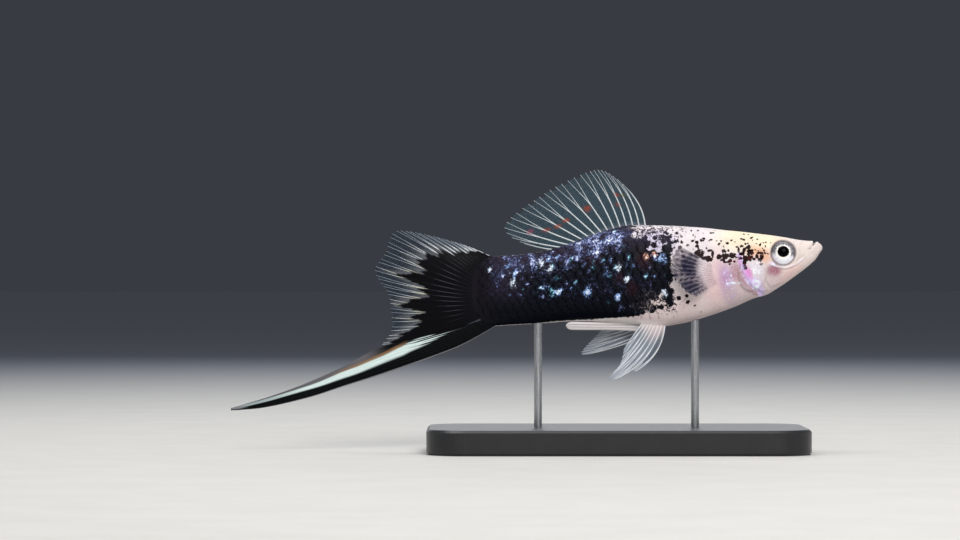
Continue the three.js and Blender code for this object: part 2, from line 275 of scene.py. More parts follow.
back = through([
    (-26, 14.2), (-20.5, 14.45), (-15.2, 15.1), (-10.8, 16.3), (-2.4, 19.3), (3, 20.4),
    (8.6, 20.4), (16.6, 20.0), (24.6, 19.1), (32.6, 18.1), (36.6, 17.4), (39.2, 17.15),
    (41, 16.95)])
belly = through([
    (-24, 0.1), (-15.4, 0.6), (-7.4, 1.1), (0.6, 0.7), (8.6, 0), (13, 0.6), (17.8, 1.9),
    (22.6, 3.6), (27.4, 5.7), (29.8, 6.4), (32.2, 7.8), (36.6, 10.9), (39.4, 13.2), (41, 15.0)])
half_width = through([
    (-29.6, 0.14), (-28, 0.4), (-26.5, 0.85), (-23, 1.85), (-15, 2.85), (-8, 3.65), (0, 4.5),
    (8, 5.1), (15, 5.35), (20, 5.25), (25, 4.95), (30, 4.4), (34, 3.75), (37, 3.0), (39, 2.4),
    (41, 1.75)])
widest = through([
    (-29, 0.5), (8, 0.5), (20, 0.54), (30, 0.62), (38, 0.66), (39.4, 0.64), (40.2, 0.55),
    (41, 0.37)])
square_top = through([(-29, 2), (10, 2), (22, 2.25), (32, 2.7), (38, 2.7)])
square_foot = through([(-29, 1.9), (-10, 1.9), (8, 2.15), (25, 2.0), (40, 2.2)])
print("back and belly in the middle:", back(0.0).round(1), "and", belly(0.0).round(1))


# %% The formula of the body
def body_spot(x, turn, grow):
    """y and height of the body's surface at x, moved out by grow. turn is a share of a turn, from
    the left side up over the back."""
    behind = np.maximum(0, TAIL_X + TAIL_CLOSES - x) / (TAIL_CLOSES + grow)
    ahead = np.maximum(0, x - SNOUT_X + SNOUT_CLOSES) / (SNOUT_CLOSES + grow)
    opened = np.sqrt(np.clip(1 - behind**2 - ahead**2, 0, 1))
    level = belly(x) + (back(x) - belly(x)) * widest(x)
    tall = (back(x) - belly(x)) / 2
    odd = (tall - half_width(x)) / (tall + half_width(x))
    angle = turn * 2 * np.pi
    angle = angle - odd / 2 * np.sin(2 * angle)
    c, s = np.cos(angle), np.sin(angle)
    power = np.where(s >= 0, square_top(x), square_foot(x))
    up = np.where(s >= 0, back(x) - level, level - belly(x)) + grow
    y = (half_width(x) + grow) * opened**BLUNT * np.sign(c) * np.abs(c) ** (2 / power)
    h = level + up * opened * np.sign(s) * np.abs(s) ** (2 / power)
    return y, h


print("body:", round(float(back(5.0) - belly(5.0)), 1), "mm deep,",
      round(float(2 * half_width(15.0)), 1), "mm wide")

# %% [markdown]
# ## One skin, with the head modelled on it
# The skin of the whole fish is a sphere with its poles at the snout and the tail root. Its
# rings are slid along the body and pressed into the sections, closer together on the head,
# which carries the finest forms. Then the forms of the head are raised or sunk along the
# surface: the socket and rim of the eye, the plate of the gill cover with its free rear edge,
# the crease in front of it, the ridge under the eye, nostrils, lips and the gape of the mouth.

# %% Places on the head
EYE = {"x": 32.95, "h": 14.8, "side": 2.8, "radius": 2.4, "flat": 0.74}
MOUTH = [
    (38.3, -2.25, 15.6), (39.1, -1.9, 16.4), (39.45, -1.25, 16.95), (39.5, 0, 17.1),
    (39.45, 1.25, 16.95), (39.1, 1.9, 16.4), (38.3, 2.25, 15.6)]
GILL_EDGE = [
    (28.2, 14.9), (26.4, 15.2), (24.6, 14.7), (23.8, 13.6), (24.0, 12.2), (24.5, 11.1),
    (25.1, 10.0), (25.9, 8.8), (26.8, 7.9), (28.2, 7.0), (30.0, 5.9), (32.0, 6.6)]
CHEEK_EDGE = [
    (28.6, 15.2), (28.7, 13.2), (29.0, 11.2), (29.3, 9.2), (30.4, 7.7), (32.4, 8.4)]
UNDER_EYE = [(30.3, 12.8), (31.6, 12.1), (33.6, 11.9), (35.4, 12.5), (36.9, 13.6)]
JAW_FOLD = [(38.3, 15.7), (37.3, 14.3), (36.2, 13.2), (35.2, 12.0)]
THROAT_FOLDS = [
    [(27.6, 6.9), (30.2, 7.0), (33.0, 8.8)], [(27.2, 6.4), (30.2, 6.35), (33.2, 8.1)]]
NOSTRILS = [((36.65, 16.55), 0.26), ((35.3, 16.85), 0.2)]
PORES = [
    (34.6, 17.35), (33.0, 17.55), (31.2, 17.3), (30.2, 16.2), (30.0, 14.4), (30.6, 13.2)]

EYE_SOCKET = {"edge": (2.15, 2.62), "deep": 1.25}
EYE_RIM = {"away": 2.95, "wide": 0.34, "high": 0.16}
GILL_PLATE = {"middle": (26.9, 11.2), "reach": (2.9, 4.0), "lean": -12, "high": 0.3}
LIP = {"spot": (40.4, 0, 16.0), "wide": 0.8, "high": 0.16}
print("places of head pores on each side:", len(PORES))

# %% Make the sphere and lay its rings along the body
RINGS_SNOUT, RINGS_HEAD, RINGS_BODY, RINGS_TAIL = 30, 156, 250, 34
ROUND = 200
HEAD_ENDS = 22.0
SCALED_TO, BARE_FROM = 21.5, 25.0
BARE_DEPTH, SCALE_DEPTH = 0.02, 0.09

quarter = np.linspace(np.pi / 2, 0, RINGS_SNOUT, endpoint=False)
ring_x = np.concatenate([
    SNOUT_X - SNOUT_CLOSES + SNOUT_CLOSES * np.sin(quarter),
    np.linspace(SNOUT_X - SNOUT_CLOSES, HEAD_ENDS, RINGS_HEAD, endpoint=False),
    np.linspace(HEAD_ENDS, TAIL_X + TAIL_CLOSES, RINGS_BODY, endpoint=False),
    TAIL_X + TAIL_CLOSES - TAIL_CLOSES * np.sin(np.linspace(0, np.pi / 2, RINGS_TAIL))])

bm = bmesh.new()
bmesh.ops.create_uvsphere(bm, u_segments=ROUND, v_segments=len(ring_x) - 1, radius=1,
                          matrix=Matrix.Rotation(math.pi / 2, 4, "Y"))
skin = mesh_from(bm, "skin", outward=False)
ball = spots_of(skin)
ring = np.arccos(np.clip(ball[:, 0], -1, 1)) / np.pi * (len(ring_x) - 1)
skin_x = np.interp(ring, np.arange(len(ring_x)), ring_x)
skin_turn = np.arctan2(ball[:, 2], ball[:, 1]) / (2 * np.pi)


def skin_grow(x):
    """The skin lies deeper under the scales than on the bare head."""
    return -BARE_DEPTH - SCALE_DEPTH * (1 - smooth(x, SCALED_TO, BARE_FROM))


skin_y, skin_h = body_spot(skin_x, skin_turn, skin_grow(skin_x))
set_spots(skin, skin_x, skin_y, skin_h)
turn_outward(skin)
normals = np.empty(len(skin.vertices) * 3, np.float32)
skin.vertex_normals.foreach_get("vector", normals)
normals = normals.reshape(-1, 3).astype(float)
print("skin triangles:", sum(len(face.vertices) - 2 for face in skin.polygons))


# %% Forms on the side of the head
def ridge(away, wide, high):
    """A soft ridge along a line, where away is the distance from the line."""
    return high * np.exp(-((away / wide) ** 2))


def hollow(away, wide, deep):
    return -ridge(away, wide, deep)


def side_forms(x, h):
    """How far socket, gill cover, cheek and folds rise, in millimetres, from the plain head."""
    side = np.stack([x, h], -1)
    away = np.hypot(x - EYE["x"], h - EYE["h"])
    rise = -EYE_SOCKET["deep"] * (1 - smooth(away, *EYE_SOCKET["edge"]))
    rise += ridge(away - EYE_RIM["away"], EYE_RIM["wide"], EYE_RIM["high"])
    away, share = off_line(side, GILL_EDGE)
    inside = patch(x, h, GILL_PLATE["middle"], GILL_PLATE["reach"], 0.12, GILL_PLATE["lean"])
    rise += GILL_PLATE["high"] * smooth(inside, 0.1, 0.9)
    rise += hollow(away, 0.28, 0.34) * smooth(1 - share, 0.0, 0.25)
    away = off_line(side, CHEEK_EDGE)[0]
    rise += hollow(away, 0.22, 0.07) + ridge(away - 0.5, 0.35, 0.05)
    away = off_line(side, UNDER_EYE)[0]
    rise += ridge(away, 0.2, 0.1) + hollow(away - 0.45, 0.22, 0.07)
    away, share = off_line(side, JAW_FOLD)
    rise += hollow(away, 0.24, 0.1) * (1 - 0.6 * share)
    for fold in THROAT_FOLDS:
        rise += hollow(off_line(side, fold)[0], 0.16, 0.1)
    return rise


SOCKET_MIDDLE = np.array([[EYE["x"]], [EYE["h"]]])
print("bottom of the eye's socket:", side_forms(*SOCKET_MIDDLE).round(2))


# %% Raise and sink the forms of the head
def front_forms(x, y, h):
    """How far mouth, lips, nostrils and pores rise, in millimetres."""
    place = np.stack([x, y, h], -1)
    away = off_line(place, MOUTH)[0]
    rise = hollow(away, 0.24, 0.75) + ridge(away - 0.6, 0.26, 0.08)
    rise += ridge(np.linalg.norm(place - LIP["spot"], axis=1), LIP["wide"], LIP["high"])
    for (nose_x, nose_h), radius in NOSTRILS:
        away = np.hypot(x - nose_x, h - nose_h)
        rise += hollow(away, radius, 0.4) + ridge(away - 1.8 * radius, 0.12, 0.08)
    for pore_x, pore_h in PORES:
        rise += hollow(np.hypot(x - pore_x, h - pore_h), 0.1, 0.09)
    return rise


flank = smooth(np.abs(normals[:, 1]), 0.15, 0.6)
on_head = skin_x > HEAD_ENDS - 3
head_x, head_y, head_h = skin_x[on_head], skin_y[on_head], skin_h[on_head]
rise = np.zeros(len(skin_x))
rise[on_head] = flank[on_head] * side_forms(head_x, head_h) + front_forms(head_x, head_y, head_h)
skin_x = skin_x + normals[:, 0] * rise
skin_y = skin_y + normals[:, 1] * rise
skin_h = skin_h + normals[:, 2] * rise
set_spots(skin, skin_x, skin_y, skin_h)
print("highest and lowest form on the head:", rise.max().round(2), rise.min().round(2), "mm")

# %% [markdown]
# ## The markings, painted once for skin and scales
# This fish is a marbled one: lavender white in front, with a yellow nape and a pink and silver
# gill cover, and blue-black behind, broken by scales that flash blue, white or lilac. The
# paint is worked out for any place on the body, so that skin and scales agree. Five things
# are painted: the ground colour, how thick the black pigment lies, how large its loose flecks
# are, the hue of that black, and the flashes, glints of the silver cells painted in as bright
# colour. A few marks of shade and highlight on the head are painted in too.

# %% Tones of the pale parts
LAVENDER_WHITE = tone(228, 219, 222)
LAVENDER_SHADE = tone(182, 176, 214)
CREAM = tone(232, 219, 212)
BELLY_PINK = tone(220, 200, 198)
NAPE_YELLOW = tone(252, 234, 184)
SALMON = tone(240, 168, 120)
SILVER_CREASE_HIGHLIGHT = tone(250, 248, 254)
MAGENTA = tone(214, 150, 208)
HOT_PINK = tone(226, 110, 200)
CHEEK_GREY = tone(206, 186, 190)
MOUTH_PAINTED_SHADE = tone(70, 46, 50)
GILL_EDGE_PAINTED_SHADE = tone(172, 138, 146)
ORBIT_GREY = tone(120, 112, 116)
LILAC = tone(222, 200, 246)
VIOLET = tone(168, 120, 178)
PLUM = tone(158, 88, 112)
ROSE = tone(226, 182, 180)
KEEL_WHITE = tone(250, 244, 240)
GILL_PEARL = tone(226, 220, 230)

# Every patch is how strong it is, x and height of its middle, how far it reaches along and up,
# how soft its edge is, how it leans in degrees, and its colour.
GILL_PATCHES = [
    (0.5, (19.6, 9.8), (2.2, 5.0), 0.6, 0, ROSE),
    (0.72, (21.8, 9.0), (1.5, 3.6), 0.7, 12, VIOLET),
    (0.6, (23.6, 10.6), (1.0, 2.6), 0.5, 24, PLUM),
    (0.7, (28.2, 14.4), (2.4, 1.5), 0.6, -16, SALMON),
    (0.75, (27.5, 11.0), (1.7, 3.0), 0.35, 8, GILL_PEARL),
    (0.8, (27.0, 8.5), (1.8, 1.3), 0.4, 0, LILAC),
    (0.7, (24.0, 7.2), (3.0, 2.4), 0.5, 0, CHEEK_GREY),
    (0.7, (30.8, 9.6), (2.2, 3.0), 0.5, 0, CHEEK_GREY)]
CHEEK_PATCHES = [
    (0.7, (25.9, 11.0), (0.7, 1.3), 0.7, 28, HOT_PINK),
    (0.85, (31.2, 11.4), (1.4, 1.1), 0.6, 0, PLUM),
    (0.55, (34.6, 11.0), (2.8, 1.2), 0.6, 38, ROSE)]
print("coloured patches on gill cover and cheek:", len(GILL_PATCHES) + len(CHEEK_PATCHES))


# %% Paint the ground
def share_up(x, h):
    """0 at the belly and 1 at the back."""
    return (h - belly(x)) / (back(x) - belly(x))


def lay_patches(colours, x, h, patches):
    for strong, middle, radii, soft, lean, colour in patches:
        lay(colours, strong * patch(x, h, middle, radii, soft, lean), colour)


def gill_edge_paint(ground, x, h):
    """Painted shade behind the free edge of the gill cover, and lilac and magenta on it."""
    away = off_line(np.stack([x, h], -1), GILL_EDGE[3:10])[0]
    onto = smooth(x - np.interp(-h, [-14, -9, -7], [23.8, 25.8, 28.2]), -0.35, 0.1)
    magenta = patch(x, h, (24.3, 12.0), (1.5, 2.2), 0.5)
    lay(ground, 0.75 * (1 - smooth(away, 0.5, 1.5)) * (1 - onto) * smooth(x, 22.5, 24), GILL_EDGE_PAINTED_SHADE)
    lay(ground, 0.95 * (1 - smooth(away, 0.8, 1.6)) * onto, LILAC)
    lay(ground, 0.85 * (1 - smooth(away, 0.2, 0.9)) * onto * magenta, MAGENTA)


def ground_paint(x, y, h):
    up = share_up(x, h)
    ground = np.tile(LAVENDER_WHITE, (len(x), 1))
    lay(ground, 0.8 * (1 - smooth(up, 0.15, 0.6)), BELLY_PINK)
    lay(ground, 0.9 * (1 - smooth(h - belly(x), 0.7, 1.4)) * smooth(12 - x, 0, 6), KEEL_WHITE)
    lay(ground, 0.6 * patch(x, h, (7.6, 16.8), (3.8, 2.4)), LAVENDER_SHADE)
    lay(ground, smooth(x, 27, 33), CREAM)
    nape = smooth(up, 0.55, 0.85) * patch(x, h, (26.3, 17.6), (6.2, 3.4))
    lay(ground, 0.62 * nape, NAPE_YELLOW)
    lay_patches(ground, x, h, GILL_PATCHES)
    gill_edge_paint(ground, x, h)
    lay_patches(ground, x, h, CHEEK_PATCHES)
    # A painted highlight of pale silver runs along the ridge of the crease under the eye.
    lay(ground, ridge(off_line(np.stack([x, h], -1), UNDER_EYE)[0], 0.19, 0.65), SILVER_CREASE_HIGHLIGHT)
    away = np.hypot(x - EYE["x"], h - EYE["h"])
    lay(ground, 0.75 * (1 - smooth(away, 2.45, 2.85)), ORBIT_GREY)
    # Painted shade darkens the gape of the mouth along its groove.
    away = off_line(np.stack([x, y, h], -1), MOUTH)[0]
    lay(ground, 0.9 * (1 - smooth(away, 0.12, 0.34)), MOUTH_PAINTED_SHADE)
    return ground


CHEEK_SPOT = np.array([[30.0], [-3.0], [10.0]])
print("ground tone of the cheek:", ground_paint(*CHEEK_SPOT).round(2))


# %% Where the black begins, its blotches and its flecks
BLUE_BLACK = tone(3, 5, 15)
BROWN_BLACK = tone(30, 9, 8)
MAROON = tone(40, 14, 22)
BLOOD_RED = tone(104, 28, 26)
SMOKE = tone(50, 42, 58)
BLOTCH_SPREADS, FLECK_SPREADS = 1.4, 1.15
# The middle of the ragged edge is where the black is this thick.
BLACK_EDGE = 0.65
black_front = through([
    (1.1, -14), (1.6, -6), (2.0, 0.6), (3, 5.0), (5.4, 8.8), (7.0, 9.8), (8.2, 9.7), (9.6, 11.0),
    (11, 10.5), (13, 9.8), (14.6, 9.2), (15.4, 8.0), (17.4, 4.2), (19.8, 2.2)])
STALK_BLACK = tone(16, 14, 21)
# Every blotch, gap and zone is x, height, how far it reaches along and up, and how thick it is.
BLOTCHES = [
    (16.2, 14.6, 0.76, 0.72, 1), (15.6, 14.4, 0.5, 0.36, 1), (16, 15.8, 0.2, 0.44, 0.9),
    (17.2, 13.7, 0.6, 0.36, 1), (18, 13.6, 0.7, 0.48, 1), (18.84, 14.6, 0.24, 0.64, 1),
    (18.4, 15.24, 0.5, 0.2, 1), (20.1, 14, 0.36, 0.4, 1), (20.7, 13.4, 0.3, 0.18, 1),
    (21.1, 15.1, 0.44, 0.36, 0.9), (20.9, 14.2, 0.18, 0.7, 0.9), (21.6, 14.3, 0.44, 0.32, 1),
    (22.8, 14.3, 0.56, 0.5, 1), (23.6, 14, 0.28, 0.24, 1), (21.1, 13.4, 0.2, 0.36, 1),
    (22.4, 13.3, 0.32, 0.36, 1), (21.6, 12.94, 0.52, 0.18, 1), (22.24, 12.54, 0.18, 0.18, 1),
    (23.2, 13.1, 0.28, 0.24, 1), (21.8, 16.7, 0.26, 0.24, 1), (24.66, 16.14, 0.28, 0.22, 1),
    (24, 15.3, 0.24, 0.48, 1), (25.1, 15.2, 0.28, 0.52, 1), (24.6, 14.6, 0.48, 0.26, 1),
    (25.9, 15.9, 0.38, 0.26, 1), (24.4, 13.8, 0.48, 0.24, 1), (25.3, 13.8, 0.4, 0.4, 1),
    (25.1, 12.8, 0.42, 0.54, 1), (25.4, 11.8, 0.26, 0.28, 1), (24.94, 11.74, 0.18, 0.16, 1),
    (26.1, 13.8, 0.4, 0.32, 1), (26, 14.6, 0.3, 0.24, 1), (26.7, 15.3, 0.24, 0.2, 0.9),
    (26.6, 14.1, 0.3, 0.24, 0.9), (27.1, 13.6, 0.32, 0.26, 1), (27.4, 15.4, 0.2, 0.16, 0.8),
    (27.6, 14.1, 0.26, 0.44, 0.9), (28.1, 14.84, 0.3, 0.18, 0.9), (28.66, 14.2, 0.34, 0.6, 1),
    (28.2, 13.4, 0.36, 0.3, 1), (29.1, 15.3, 0.24, 0.22, 0.8), (29.9, 14.7, 0.32, 0.24, 0.7),
    (28.6, 12.5, 0.32, 0.24, 0.6), (28, 12.5, 0.24, 0.2, 0.6), (11.4, 10.2, 0.5, 0.8, 0.85),
    (9.7, 16.3, 0.9, 2.0, 0.95), (9.8, 14.2, 0.6, 1.2, 0.95), (10.1, 6.3, 0.6, 1.2, 1.3),
    (5.0, 16.6, 1.0, 1.0, 1.2), (14.4, 15.2, 2.0, 1.2, 0.4), (9.0, 5.2, 3.0, 2.4, 0.6),
    (12.4, 12.0, 1.6, 3.4, 0.5), (8.0, 18.0, 5.0, 2.4, 0.6)]
NAPE_FLECKS = [
    (24.6, 17.6, 0.32, 0.18), (25.4, 16.6, 0.18, 0.22), (25.9, 16.7, 0.18, 0.18),
    (26.8, 17.9, 0.28, 0.16), (26.9, 17.4, 0.18, 0.18), (27.8, 17.5, 0.22, 0.16),
    (27.6, 16.6, 0.24, 0.18), (28.5, 16.7, 0.22, 0.2), (28.3, 16.3, 0.16, 0.16),
    (29.5, 16.9, 0.18, 0.2), (29.4, 16.1, 0.18, 0.28), (26.1, 18.5, 0.18, 0.14),
    (19, 18.8, 0.38, 0.18), (18.2, 17.2, 0.2, 0.2), (19.6, 17.2, 0.28, 0.2),
    (20.6, 17.16, 0.24, 0.2), (19.6, 16.3, 0.18, 0.18), (21, 16.04, 0.2, 0.28),
    (17.1, 18.7, 0.18, 0.18), (16.1, 19.3, 0.22, 0.16), (14.9, 19.2, 0.4, 0.2),
    (15.44, 17.8, 0.2, 0.34), (14.9, 17.2, 0.34, 0.2), (22.9, 15.7, 0.2, 0.16),
    (28.8, 15.7, 0.16, 0.16)]
GAPS = [
    (7.2, 15.9, 1.5, 1.0, 1.0), (6.4, 17.6, 1.6, 0.7, 0.8), (4.2, 18.5, 1.6, 0.5, 0.6),
    (8.2, 9.0, 0.5, 0.4, 0.7), (7.4, 5.4, 2.4, 2.4, 0.62)]
FLECK_ZONES = [
    (7.5, 16.5, 3.0, 3.0, 0.45), (12.6, 17.0, 6.0, 3.4, 0.3), (25.6, 16.9, 6.5, 2.0, 0.2),
    (10.6, 5.6, 4.6, 3.4, 0.38), (8.0, 5.0, 3.4, 2.6, 0.5), (19.0, 17.6, 5.0, 2.4, 0.24),
    (13.6, 12.0, 1.4, 4.0, 0.3), (14.6, 3.8, 3.0, 1.6, 0.22), (26.6, 15.0, 2.8, 2.0, 0.36),
    (22.0, 14.6, 2.0, 1.0, 0.36)]
MAROONS = [
    ((-5.0, 13.8), (1.8, 1.3)), ((0.4, 9.8), (0.9, 1.0)), ((2.8, 7.8), (1.0, 1.3)),
    ((5.2, 13.4), (1.4, 1.5))]
REDS = [
    ((25.4, 12.4), (0.3, 0.4)), ((24.8, 14.1), (0.4, 0.3)), ((26.2, 13.8), (0.4, 0.4)),
    ((22.6, 13.1), (0.5, 0.3)), ((23.2, 13.0), (0.4, 0.3)), ((27.0, 14.6), (0.4, 0.3))]
print("black blotches and loose flecks by hand:", len(BLOTCHES), "and", len(NAPE_FLECKS))


# %% Paint the black
def fleck_paint(x, h):
    """How large the loose flecks of black are, as a share of the room each has."""
    size = np.zeros(len(x))
    for zone_x, zone_h, along, high, much in FLECK_ZONES:
        size = np.maximum(size, much * patch(x, h, (zone_x, zone_h), (along, high)))
    return size


def black_paint(x, y, h):
    """How thick the black lies."""
    soft = 2.8 + 3.7 * smooth(np.abs(h - 10), 1.5, 6.5)
    thick = 2.0 * smooth((black_front(h) - x) / soft, -1, 1.2)
    for gap_x, gap_h, along, high, much in GAPS:
        thick = thick - much * patch(x, h, (gap_x, gap_h), (along, high))
    for blot_x, blot_h, along, high, much in BLOTCHES:
        reach = (along * BLOTCH_SPREADS, high * BLOTCH_SPREADS)
        thick = np.maximum(thick, much * patch(x, h, (blot_x, blot_h), reach))
    for fleck_x, fleck_h, along, high in NAPE_FLECKS:
        reach = (along * FLECK_SPREADS, high * FLECK_SPREADS)
        thick = np.maximum(thick, 0.85 * patch(x, h, (fleck_x, fleck_h), reach))
    keel = smooth(-np.abs(y), -0.7, -0.3) * (1 - smooth(h - belly(x), 0.1, 0.35))
    return thick * (1 - keel * smooth(x, -26, -24))


def hue_paint(x, h):
    """The tone of the black: smoky on the back, brown in front, with maroon and red in places."""
    up = share_up(x, h)
    hue = np.tile(BLUE_BLACK, (len(x), 1))
    for middle, radii in MAROONS:
        lay(hue, 0.7 * patch(x, h, middle, radii, 0.9), MAROON)
    lay(hue, 0.45 * smooth(-x, 16, 22) * smooth(up, 0.2, 0.6), SMOKE)
    lay(hue, 0.8 * smooth(up, 0.72, 0.92) * (1 - 0.5 * smooth(-x, 18, 24)), SMOKE)
    lay(hue, 0.85 * smooth(-x, 23.5, 27.5), STALK_BLACK)
    lay(hue, smooth(x, 11, 14), BROWN_BLACK)
    for middle, radii in REDS:
        lay(hue, 0.36 * patch(x, h, middle, radii), BLOOD_RED)
    return hue


FLANK_SPOT = np.array([[-5.0], [-3.0], [10.0]])
print("black on the cheek and on the flank:", black_paint(*CHEEK_SPOT).round(2),
      black_paint(*FLANK_SPOT).round(2))


# %% Hues and places of the flashes
ICE = tone(226, 240, 255)
SKY = tone(150, 190, 250)
LAVENDER = tone(146, 160, 216)
TEAL = tone(104, 176, 196)
COPPER = tone(214, 150, 110)
DULL_SILVER_GLINT = tone(168, 156, 154)
# Every flash, a glint of the silver cells painted in as bright colour, is x, height, size, hue
# and strength.
FLASHES = [
    (8.8, 13.6, 1.1, SKY, 1.0), (0.2, 12.0, 0.8, ICE, 0.95), (1.8, 12.2, 0.6, SKY, 0.8),
    (-2.4, 10.4, 0.7, SKY, 0.75), (-4.8, 11.8, 0.6, TEAL, 0.6), (-6.0, 7.0, 0.9, SKY, 0.85),
    (0.0, 6.0, 0.8, SKY, 0.85), (0.6, 3.8, 0.7, LAVENDER, 0.7), (-1.8, 5.0, 0.7, TEAL, 0.6),
    (1.8, 9.6, 0.7, ICE, 0.75), (9.2, 6.6, 0.9, ICE, 0.9), (-10.0, 13.0, 0.7, LAVENDER, 0.8),
    (-8.2, 13.8, 0.8, LAVENDER, 0.8), (-2.8, 13.6, 0.7, TEAL, 0.7),
    (0.2, 15.4, 0.9, LAVENDER, 0.9), (-20.8, 8.8, 1.0, ICE, 0.95), (-25.4, 11.6, 0.45, ICE, 1.0),
    (-22.6, 13.8, 0.7, LAVENDER, 0.6), (-22.0, 12.2, 0.6, SKY, 0.6),
    (-22.8, 10.4, 0.7, LAVENDER, 0.6), (-20.4, 10.6, 0.7, SKY, 0.6),
    (-17.0, 13.4, 1.6, LAVENDER, 0.7), (-15.2, 12.6, 0.8, ICE, 0.8),
    (-13.4, 11.6, 0.7, ICE, 0.75), (-12.0, 9.8, 0.7, TEAL, 0.7), (-13.2, 7.0, 0.9, TEAL, 0.75),
    (-11.8, 7.0, 0.7, SKY, 0.7), (-14.8, 7.8, 0.6, SKY, 0.5), (-15.0, 6.2, 0.6, LAVENDER, 0.4),
    (-19.0, 6.2, 0.6, LAVENDER, 0.4), (5.6, 14.0, 0.8, COPPER, 0.9),
    (7.4, 14.8, 0.7, COPPER, 0.9)]

PEARL = tone(250, 250, 255)
PALE_VIOLET = tone(226, 206, 252)
DUSK_VIOLET = tone(196, 186, 244)
COOL_PEARL = tone(236, 236, 255)
# Painted glints of silver cells on the head and behind the gill cover: x, height, reach along
# and up, lean, hue and strength.
SILVER_GLINT_PATCHES = [
    (27.6, 11.8, 1.5, 2.1, 10, PEARL, 0.56), (27.6, 8.5, 1.5, 1.2, -40, COOL_PEARL, 0.7),
    (25.3, 10.6, 0.9, 2.6, 28, PALE_VIOLET, 0.62), (30.7, 12.6, 0.9, 0.35, -20, PALE_VIOLET, 0.9),
    (21.8, 9.8, 1.3, 2.2, 10, PALE_VIOLET, 0.64), (22.5, 10.3, 0.32, 0.36, 0, ICE, 1.0),
    (23.2, 8.8, 1.4, 0.36, 0, ICE, 0.8), (22.7, 7.0, 1.0, 1.5, 10, DUSK_VIOLET, 0.48)]

# Over wider parts of the flank the flashes are many and weak.
WIDE_FLASHES = [(0.58, (-3.5, 16.8), (8.0, 3.2), 0.5, 8), (0.34, (-22.5, 11.0), (3.6, 4), 0.5, 0),
                (0.42, (-15, 12.8), (10, 2.6), 0.5, 0), (0.24, (-7, 10.0), (18, 5.6), 0.4, 0)]
print("flashes and silver patches:", len(FLASHES), "and", len(SILVER_GLINT_PATCHES))


# %% Paint the flashes
def flash_paint(x, h):
    """The colour of the flashes, glints painted in as bright colour, and how strong they are."""
    colour = np.tile(LAVENDER, (len(x), 1))
    # A wide patch of dull grey silver glints is painted low on the front of the flank.
    dull_glint = patch(x, h, (5.8, 5.2), (4.2, 2.6))
    lay(colour, dull_glint, DULL_SILVER_GLINT)
    strong = 0.38 * dull_glint
    for much, middle, radii, soft, lean in WIDE_FLASHES:
        strong = np.maximum(strong, much * patch(x, h, middle, radii, soft, lean))
    for flash_x, flash_h, radius, hue, much in FLASHES:
        weight = patch(x, h, (flash_x, flash_h), (radius * 0.8, radius * 1.1), 0.9)
        lay(colour, weight * 1.5, hue)
        strong = np.maximum(strong, weight * (0.4 + 0.6 * much))
    for spot_x, spot_h, along, high, lean, hue, much in SILVER_GLINT_PATCHES:
        weight = patch(x, h, (spot_x, spot_h), (along, high), 0.5, lean)
        lay(colour, weight * 2, hue)
        strong = np.maximum(strong, weight * much)
    return colour, strong


print("flash on the flank:", flash_paint(*FLANK_SPOT[[0, 2]])[1].round(2))


# %% Hang the paint on the skin
def hang_paint(mesh, x, y, h, own_flash=None):
    """Hangs all the paint on a mesh. own_flash is a further colour and strength of flash."""
    hang_colour(mesh, "Ground", ground_paint(x, y, h))
    hang_value(mesh, "Black", black_paint(x, y, h))
    hang_value(mesh, "Flecks", fleck_paint(x, h))
    hang_colour(mesh, "Hue", hue_paint(x, h))
    colour, strong = flash_paint(x, h)
    if own_flash is not None:
        own_colour, own_strong = own_flash
        stronger = own_strong > strong
        colour[stronger] = own_colour[stronger]
        strong = np.maximum(strong, own_strong)
    hang_colour(mesh, "Flash", colour)
    hang_value(mesh, "FlashStrength", strong)


hang_paint(skin, skin_x, skin_y, skin_h)
under_black = black_paint(skin_x, skin_y, skin_h) > BLACK_EDGE
print("share of the skin under black:", round(float(under_black.mean()), 2))

# %% [markdown]
# ## The finish of skin and scale
# Living skin is never one flat tone. Pigment cells break every edge into grains, the pale
# parts are clouded and faintly beaded, and silver cells catch light as small bright grains,
# which are painted here as glints in the colour. A node group does that breaking-up once, for
# both the skin and the scales. The group reads the painted values as inputs and gives back
# colour, roughness and a height for the bump.


# %% Small helpers for nodes
def add_node(tree, kind, **settings):
    """Adds a node and sets the properties that are named."""
    node = tree.nodes.new(kind)
    for name, value in settings.items():
        setattr(node, name, value)
    return node


def join(tree, start, end):
    tree.links.new(start, end)


def noise_node(tree, where, scale, detail=2.0, rough=0.5):
    node = add_node(tree, "ShaderNodeTexNoise")
    node.inputs["Scale"].default_value = scale
    node.inputs["Detail"].default_value = detail
    node.inputs["Roughness"].default_value = rough
    join(tree, where, node.inputs["Vector"])
    return node.outputs["Fac"]


# %% Helpers for numbers and colours in nodes
def sums(tree, kind, first, second=0.0, third=None, clamp=False):
    """One Math node. first, second and third are sockets or numbers."""
    node = add_node(tree, "ShaderNodeMath", operation=kind, use_clamp=clamp)
    for slot, value in zip(node.inputs, (first, second, third)):
        if value is None:
            continue
        if isinstance(value, (int, float)):
            slot.default_value = value
        else:
            join(tree, value, slot)
    return node.outputs[0]


def spread(tree, value, low, high, to_low=0.0, to_high=1.0):
    """Map Range with an even S between low and high."""
    node = add_node(tree, "ShaderNodeMapRange", interpolation_type="SMOOTHSTEP")
    join(tree, value, node.inputs["Value"])
    numbers = (low, high, to_low, to_high)
    for slot, number in zip(("From Min", "From Max", "To Min", "To Max"), numbers):
        node.inputs[slot].default_value = number
    return node.outputs["Result"]


